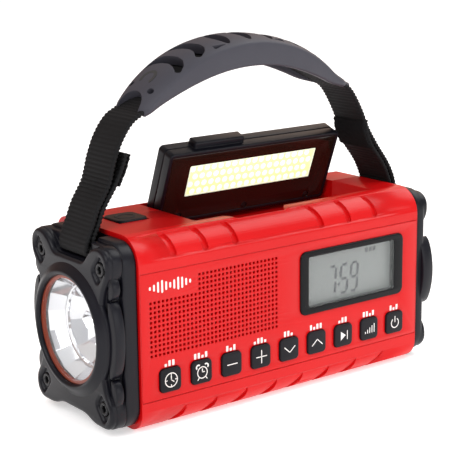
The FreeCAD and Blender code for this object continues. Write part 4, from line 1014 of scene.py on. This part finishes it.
# ---------------- end caps
def plate_points():
    """Outline of the four-lobed bumper plate, and the rounding of each corner."""
    half = [
        (10.8, 66.4), (14, 70.6), (18.6, 73.6), (24, 73.8), (28, 70.5), (28.2, 64), (23, 56), (22.4, 37.5),
        (23, 20), (28.4, 12.4), (28.2, 6.6), (24.6, 3), (15, 3), (9, 5.4),
    ]
    radii = [5, 4, 4, 4, 4.5, 7, 8, 9, 8, 7, 4, 5, 5, 5]
    return half + [(-y, z) for y, z in reversed(half)], radii + radii[::-1]


SCREWS = [(s * 21.5, z) for s in (-1, 1) for z in (10.9, 65.4)]
LAMP_Z = 37.5
# How far each cap's block and plate stand out from the shell's end.
CAP_DEEP = {"left_cap": 8, "right_cap": 6.2}
CAP_PLATE = {"left_cap": 13, "right_cap": 8}
ANTENNA_HOLE = circle(26.9, 70.5, 2.85, 28)


def pocket(y, z, grow=0.0):
    """Slanted four-sided pocket around a screw."""
    s = 1 if y > 0 else -1
    t = 1 if z > LAMP_Z else -1
    r = 4.6 + grow
    points = [
        (y + s * r * 0.25, z + t * r * 1.15),
        (y + s * r * 0.95, z + t * r * 0.1),
        (y - s * r * 0.15, z - t * r * 1.2),
        (y - s * r * 0.9, z - t * r * 0.2),
    ]
    if s * t < 0:
        points.reverse()
    return rounded(points, 1.6, 4)


def lathe(profile, steps, start=0.0, x_side=-1):
    """Turned mesh about the lamp's axis from (distance out, radius) points; x_side is -1 on the left."""
    rows = []
    for k in range(steps):
        angle = math.tau * k / steps + start
        across, up = math.cos(angle), math.sin(angle)
        rows.append([(x_side * out, radius * across, LAMP_Z + radius * up) for out, radius in profile])
    return from_grid(rows, closed_along=True)


def side_rib(side, low, high, out, near, far, sign):
    """Bowed bumper rib on a cap's long side, rounded along its edges."""
    rows = []
    steps = 24
    edge = 26.5
    inner = 25.5
    rim = 0.7
    for k in range(steps + 1):
        z = low + (high - low) * k / steps
        bow = math.cos(math.pi * (k / steps - 0.5)) ** 0.6
        reach = edge + (out - edge) * bow
        rising = [(near, reach - rim), (near + rim * 0.3, reach - rim * 0.3), (near + rim, reach)]
        falling = [(far - rim, reach), (far - rim * 0.3, reach - rim * 0.3), (far, reach - rim)]
        ring = [(near, inner)] + rising + falling + [(far, inner)]
        rows.append([(sign * x, side * y, z) for x, y in ring])
    return tube(rows)


def cap_meshes(name, sign, facing, bored):
    """Base block, lobed plate swelling to a ring, side ribs and pockets of one end cap."""
    base_end = HALF_LONG + CAP_DEEP[name]
    plate_end = HALF_LONG + CAP_PLATE[name]
    slot = [(-11.5, 64), (11.5, 64), (11.5, 75.5), (-11.5, 75.5)]
    bore = [circle(0, LAMP_Z, 22.4, 64)] if bored else []
    rim = [rounded_rect(-28.5, 1.5, 28.5, 75, 9, 10)]
    recess = [rounded_rect(-25.6, 3, 25.6, 73.6, 7, 8)]
    cutters = [plate_mesh([slot], HALF_LONG + 1, base_end + 3, facing)]
    if bored:
        body = joined(
            [
                plate_mesh(rim + bore, HALF_LONG, base_end - 1.6, facing, 1.1, 5),
                plate_mesh(recess + bore, base_end - 2.6, base_end + 1, facing, 0.6, 3),
            ]
        )
    else:
        body = plate_mesh(rim, HALF_LONG, base_end, facing, 2.2, 6)
        for y, z in SCREWS:
            cutters.append(plate_mesh([circle(y, z, 5.4, 24)], plate_end - 4.3, base_end + 1, facing))
        cutters.append(plate_mesh([ANTENNA_HOLE], HALF_LONG - 1, base_end + 1, facing))
    body = cut_mesh(body, cutters)
    points, radii = plate_points()
    outline = rounded(points, radii, 8)
    low = base_end - 1.4 if bored else plate_end - 4.4
    pockets = [pocket(y, z) for y, z in SCREWS]
    plate = plate_mesh([outline] + pockets + bore, low, plate_end, facing, 1.5, 6)
    meshes = [body]
    if bored:
        skirt = [(y * 1.012, LAMP_Z + (z - LAMP_Z) * 1.008) for y, z in outline]
        meshes.append(plate_mesh([skirt] + bore, base_end - 1.6, plate_end - 2.4, facing, 0.5, 3))
        ribs = [
            (24, 53.6, 30.8, base_end - 0.8, plate_end - 1.4),
            (12, 23, 29.4, base_end - 0.4, plate_end - 1.9),
            (54.6, 63, 28.9, base_end - 0.4, plate_end - 1.9),
        ]
    else:
        plate = cut_mesh(plate, [plate_mesh([ANTENNA_HOLE], low - 1, plate_end + 1, facing)])
        ribs = [(24, 53.6, 30.8, base_end - 3, plate_end + 1.2)]
    meshes.append(plate)
    for y, z in SCREWS:
        seat = [pocket(y, z, 0.4), circle(y, z, 2.9, 28)]
        meshes.append(plate_mesh(seat, plate_end - 3.4, plate_end - 1.3, facing, 0.2, 2))
        floor = [pocket(y, z, 0.4), circle(y, z, 1.6, 20)]
        meshes.append(plate_mesh(floor, plate_end - 6.2, plate_end - 4.2, facing))
    for side in (-1, 1):
        meshes += [side_rib(side, *rib, sign) for rib in ribs]
    return meshes


def screw_mesh(y, z, facing, plate_end):
    """Button head with a hexagon socket."""
    socket = arc_line((y, z), 1.5, 0, 300, 5)
    head = plate_mesh([circle(y, z, 2.75, 32), socket], plate_end - 3.2, plate_end - 0.7, facing, 0.45, 3)
    floor = plate_mesh([circle(y, z, 2.2, 24)], plate_end - 3.1, plate_end - 2.4, facing)
    return [head, floor]


def make_caps():
    screws = []
    for name, sign, facing, bored in (
        ("left_cap", -1, "left", True),
        ("right_cap", 1, "right", False),
    ):
        meshes = cap_meshes(name, sign, facing, bored)
        plate_end = HALF_LONG + CAP_PLATE[name]
        piece(name + "_shell", joined(meshes), "black", "case", [name])
        for y, z in SCREWS:
            screws += screw_mesh(y, z, facing, plate_end)
        slope = [(plate_end - 2, 27.2), (plate_end - 0.3, 27), (plate_end + 0.4, 25.6)]
        if bored:
            profile = slope + [
                (plate_end + 1.5, 24.2),
                (plate_end + 2.2, 23.2),
                (plate_end + 2.2, 22.2),
                (plate_end + 1.4, 21.45),
                (plate_end - 1.4, 21.45),
            ]
            profile = rounded(profile, 0.5, 3)
            ring_mesh = lathe(profile + [profile[0]], 96)
            piece("lamp_rim", ring_mesh, "black", "case", ["lamp_bezel"], 40)
        else:
            profile = slope + [
                (plate_end + 1.6, 23.6),
                (plate_end + 1.6, 21.6),
                (plate_end - 0.4, 20.4),
                (plate_end - 0.4, 14),
                (plate_end + 0.1, 13),
                (plate_end + 0.1, 0.05),
            ]
            disc = lathe(rounded_open(profile, 0.6), 96, 0, 1)
            piece("right_cap_disc", disc, "black", "case", (), 40)
    piece("cap_screw_heads", joined(screws), "black_steel", "case", ["cap_screws"], 30)


# ---------------- lamp
def make_reflector():
    """Stepped bowl of flat mirror facets: outer ring, round ledge and a faceted inner bowl."""
    mouth = -node_box("reflector")[0].x
    ring = [(mouth, 21.3), (mouth - 2.4, 19.9), (mouth - 6, 17.3)]
    ledge = [(mouth - 6, 17.6), (mouth - 5.6, 16.9), (mouth - 5.9, 16.2), (mouth - 6.9, 15.9)]
    bowl = [(mouth - 6.9, 16.2), (mouth - 11, 12.6), (mouth - 15.2, 8.4), (mouth - 18.8, 3.7)]
    rows = []
    creases = 18
    for k in range(creases):
        angle = math.tau * k / creases + 0.25
        crease = 1.06 if k % 2 else 0.84
        row = []
        for j, (out, radius) in enumerate(bowl):
            reach = radius * (crease if j in (1, 2) else 1)
            row.append((-out, reach * math.cos(angle), LAMP_Z + reach * math.sin(angle)))
        rows.append(row)
    mesh = joined([lathe(ring, 16, 0.1), lathe(ledge, 96, 0.1), from_grid(rows, closed_along=True)])
    piece("reflector_facets", mesh, "mirror", "case", ["reflector"], 14)


# ---------------- light flap
FLAP_AXIS = (16.6, 72)
FLAP_OPEN = 69.2
FLAP_LEFT, FLAP_FRONT, FLAP_RIGHT, FLAP_REAR = -35, -14.5, 54.3, 18.6
FLAP_LOW, FLAP_TOP = 67.4, 76.4
FLAP_RIM = 1.6


def opened(mesh):
    """Turns flap parts drawn closed to the open rest pose."""
    centre = Vector((0, *FLAP_AXIS))
    turn = Matrix.Rotation(math.radians(-FLAP_OPEN), 4, "X")
    mesh.transform(Matrix.Translation(centre) @ turn @ Matrix.Translation(-centre))
    return mesh


def flap_rect(inset, corner, rear=FLAP_REAR):
    return rounded_rect(
        FLAP_LEFT + inset, FLAP_FRONT + inset, FLAP_RIGHT - inset, rear - inset, corner, 6
    )


def window_rect(inset, corner):
    """Outline of the light window, drawn in from the opening in the face."""
    return rounded_rect(-23.7 + inset, -7.8 + inset, 42.8 - inset, 6.4 - inset, corner, 3)


def make_flap():
    middle = (FLAP_LOW + FLAP_TOP) / 2
    outer = flap_rect(0, 2)
    groove = flap_rect(0.5, 1.7)
    opening = flap_rect(FLAP_RIM, 0.8)
    back_opening = flap_rect(FLAP_RIM, 0.8, FLAP_REAR - 3)
    meshes = [
        plate_mesh([outer, opening], FLAP_LOW, middle - 0.1, "up", 0.4, 4),
        plate_mesh([groove, flap_rect(FLAP_RIM + 0.2, 0.8)], middle - 1, middle + 0.8, "up"),
        plate_mesh([outer, back_opening], middle + 0.1, FLAP_TOP, "up", 0.4, 4),
        plate_mesh([flap_rect(FLAP_RIM, 0.8)], FLAP_LOW + 6, FLAP_LOW + 7.4, "up"),
    ]
    tab = [rounded_rect(-21.8, FLAP_FRONT - 2.7, 3.4, FLAP_FRONT + 1.5, 0.9, 4)]
    meshes.append(plate_mesh(tab, FLAP_LOW + 2.4, FLAP_TOP - 1.4, "up", 0.7, 4))
    piece("flap_shell", opened(joined(meshes)), "black", "flap", ["flap_frame"])
    screws = [(x, 15.6) for x in (-24.7, 9.5, 43.8)]
    face = [flap_rect(FLAP_RIM + 0.05, 0.8), window_rect(0, 0.5)]
    face += [circle(x, y, 1.55, 24) for x, y in screws]
    mesh = plate_mesh(face, FLAP_LOW + 0.1, FLAP_LOW + 1.5, "up", 0.12, 2)
    piece("flap_gloss_face", opened(mesh), "flap_gloss", "flap", ["flap_face"])
    heads = []
    for x, y in screws:
        cross = [bar((x - 1, y), (x + 1, y), 0.45, 2)]
        heads.append(plate_mesh([circle(x, y, 1.45, 24)], FLAP_LOW + 0.3, FLAP_LOW + 1.4, "up", 0.25, 3))
        heads.append(plate_mesh(cross, FLAP_LOW + 0.22, FLAP_LOW + 0.4, "up"))
    piece("flap_screw_heads", opened(joined(heads)), "black_steel", "flap", ["flap_screws"])


def make_light():
    """Light window: a glowing diffuser sheet with a bright rim over rows of round diodes."""
    low = FLAP_LOW + 0.35
    sheet = plate_mesh([window_rect(0.1, 0.4)], low, FLAP_LOW + 1.5, "up")
    piece("light_sheet", opened(sheet), "glow", "flap", ["light_window"])
    dots = []
    pitch = 3.55
    for row in range(4):
        shift = 0.5 if row % 2 else 0.0
        for column in range(18):
            x = -22 + (column + shift) * pitch
            y = -6.1 + row * pitch
            if x <= 41.6:
                dots.append(plate_mesh([circle(x, y, 1.3, 16)], low - 0.14, low + 0.02, "up", 0.06, 2))
    piece("light_dots", opened(joined(dots)), "glow_dot", "flap")
    rim = [window_rect(0, 0.5), window_rect(0.6, 0.4)]
    mesh = plate_mesh(rim, low - 0.2, low + 0.1, "up", 0.08, 1)
    piece("light_rim", opened(mesh), "glow_edge", "flap")


def make_solar():
    """Solar cell: thin silver fingers and two bus bars over dark silicon."""
    left, front, right, rear = FLAP_LEFT + FLAP_RIM, FLAP_FRONT + FLAP_RIM, FLAP_RIGHT - FLAP_RIM, 14
    high = FLAP_TOP - 0.2
    lines = []
    count = 58
    for k in range(1, count):
        x = left + (right - left) * k / count
        wide = 0.35 if k % 10 == 0 else 0.1
        lines.append([rounded_rect(x - wide / 2, front + 0.8, x + wide / 2, rear - 0.8, 0.04, 1)])
    for y in (front + 8, rear - 8):
        lines.append([rounded_rect(left + 0.8, y - 0.4, right - 0.8, y + 0.4, 0.1, 1)])
    mesh = joined([plate_mesh(line, high - 0.02, high + 0.05, "up") for line in lines])
    piece("solar_lines", opened(mesh), "steel", "flap")


# ---------------- red shell
# Centres (y, z) and radii of the shell's rounded front edges.
TOP_CURVE = (-18.4, 65.4)
TOP_RADIUS = 11
BOTTOM_CURVE = (-20.9, 8.5)
BOTTOM_RADIUS = 8.5
SLOT_FROM, SLOT_TO = 10, 72
SLOT_WIDE = 3.2
SLOT_ENDS = [(-55.7, -57.9), (-40.7, -43), (-26.2, -28.1), (18, 15), (32.8, 31), (47.7, 46)]
NOTCH_ENDS = [-51.4, -36.3, -21.3, -6.3, 7.5, 21.9, 37.1, 52.3]
PANEL_SEAMS = (12, 63)


def bent_row(centre, angle, corners):
    """Points on a front curve of the shell: each corner is an x and a distance from the centre."""
    forward, up = math.cos(angle), math.sin(angle)
    return [(x, centre[0] - r * forward, centre[1] + r * up) for x, r in corners]


def slot_cutter(x_low, x_high):
    """Round-ended slot that follows the top front curve from its low to its high end."""
    low, high = TOP_RADIUS - 1.2, TOP_RADIUS + 1.5
    rows = []
    steps = 28
    along_arc = math.radians(SLOT_TO - SLOT_FROM) * TOP_RADIUS
    for k in range(steps + 1):
        part = k / steps
        angle = math.radians(SLOT_FROM + (SLOT_TO - SLOT_FROM) * part)
        middle = x_low + (x_high - x_low) * part**1.5
        from_end = min(part, 1 - part) * along_arc
        half = SLOT_WIDE / 2
        if from_end < half:
            half = math.sqrt(max(half**2 - (half - from_end) ** 2, 0.02))
        left, right = middle - half, middle + half
        corners = ((left, low), (right, low), (right, high), (left, high))
        rows.append(bent_row(TOP_CURVE, angle, corners))
    return tube(rows)


def notch_cutter(x_high):
    """Slanted crescent scoop across the bottom front curve."""
    rows = []
    steps = 30
    for k in range(steps + 1):
        part = k / steps
        swell = math.sin(math.pi * min(1, part * 0.93 + 0.07))
        middle = x_high - 8.5 + 8.5 * part**0.8
        half = 0.15 + 2.3 * swell**0.8
        deep = 1.3 * swell**0.7
        corners = (
            (middle - half, BOTTOM_RADIUS - 0.05),
            (middle + half * 0.9, BOTTOM_RADIUS - deep),
            (middle + half, BOTTOM_RADIUS + 2),
            (middle - half, BOTTOM_RADIUS + 2),
        )
        rows.append(bent_row(BOTTOM_CURVE, math.radians(-88 + 82 * part), corners))
    return tube(rows)


def copied(node):
    """The node's mesh as a new one, in millimetres."""
    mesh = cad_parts[node].data.copy()
    mesh.transform(Matrix.Scale(1 / MM, 4))
    return mesh


def make_shell():
    cutters = [slot_cutter(x_low, x_high) for x_low, x_high in SLOT_ENDS]
    cutters += [notch_cutter(x_high) for x_high in NOTCH_ENDS]
    mesh = cut_mesh(copied("front_shell"), cutters)
    piece("front_shell_slotted", mesh, "red", "case", ["front_shell"], 28)


def make_seams():
    """Strips a little below the surface in the joint lines above and below the front panel."""
    side = HALF_LONG - 0.5
    strips = []
    for z in PANEL_SEAMS:
        strip = rounded_rect(-side, z - 0.4, side, z + 0.4, 0.2, 2)
        strips.append(plate_mesh([strip], FACE - 1.2, FACE - 0.3, "front"))
    piece("panel_seams", joined(strips), "red", "case")


add_camera()
add_stage()
make_materials()
dress_nodes()
make_panel()
make_seams()
make_keys()
make_print()
make_display()
make_lamp_key()
make_webbing()
make_hooks()
make_grip()
make_caps()
make_reflector()
make_flap()
make_light()
make_solar()
make_shell()
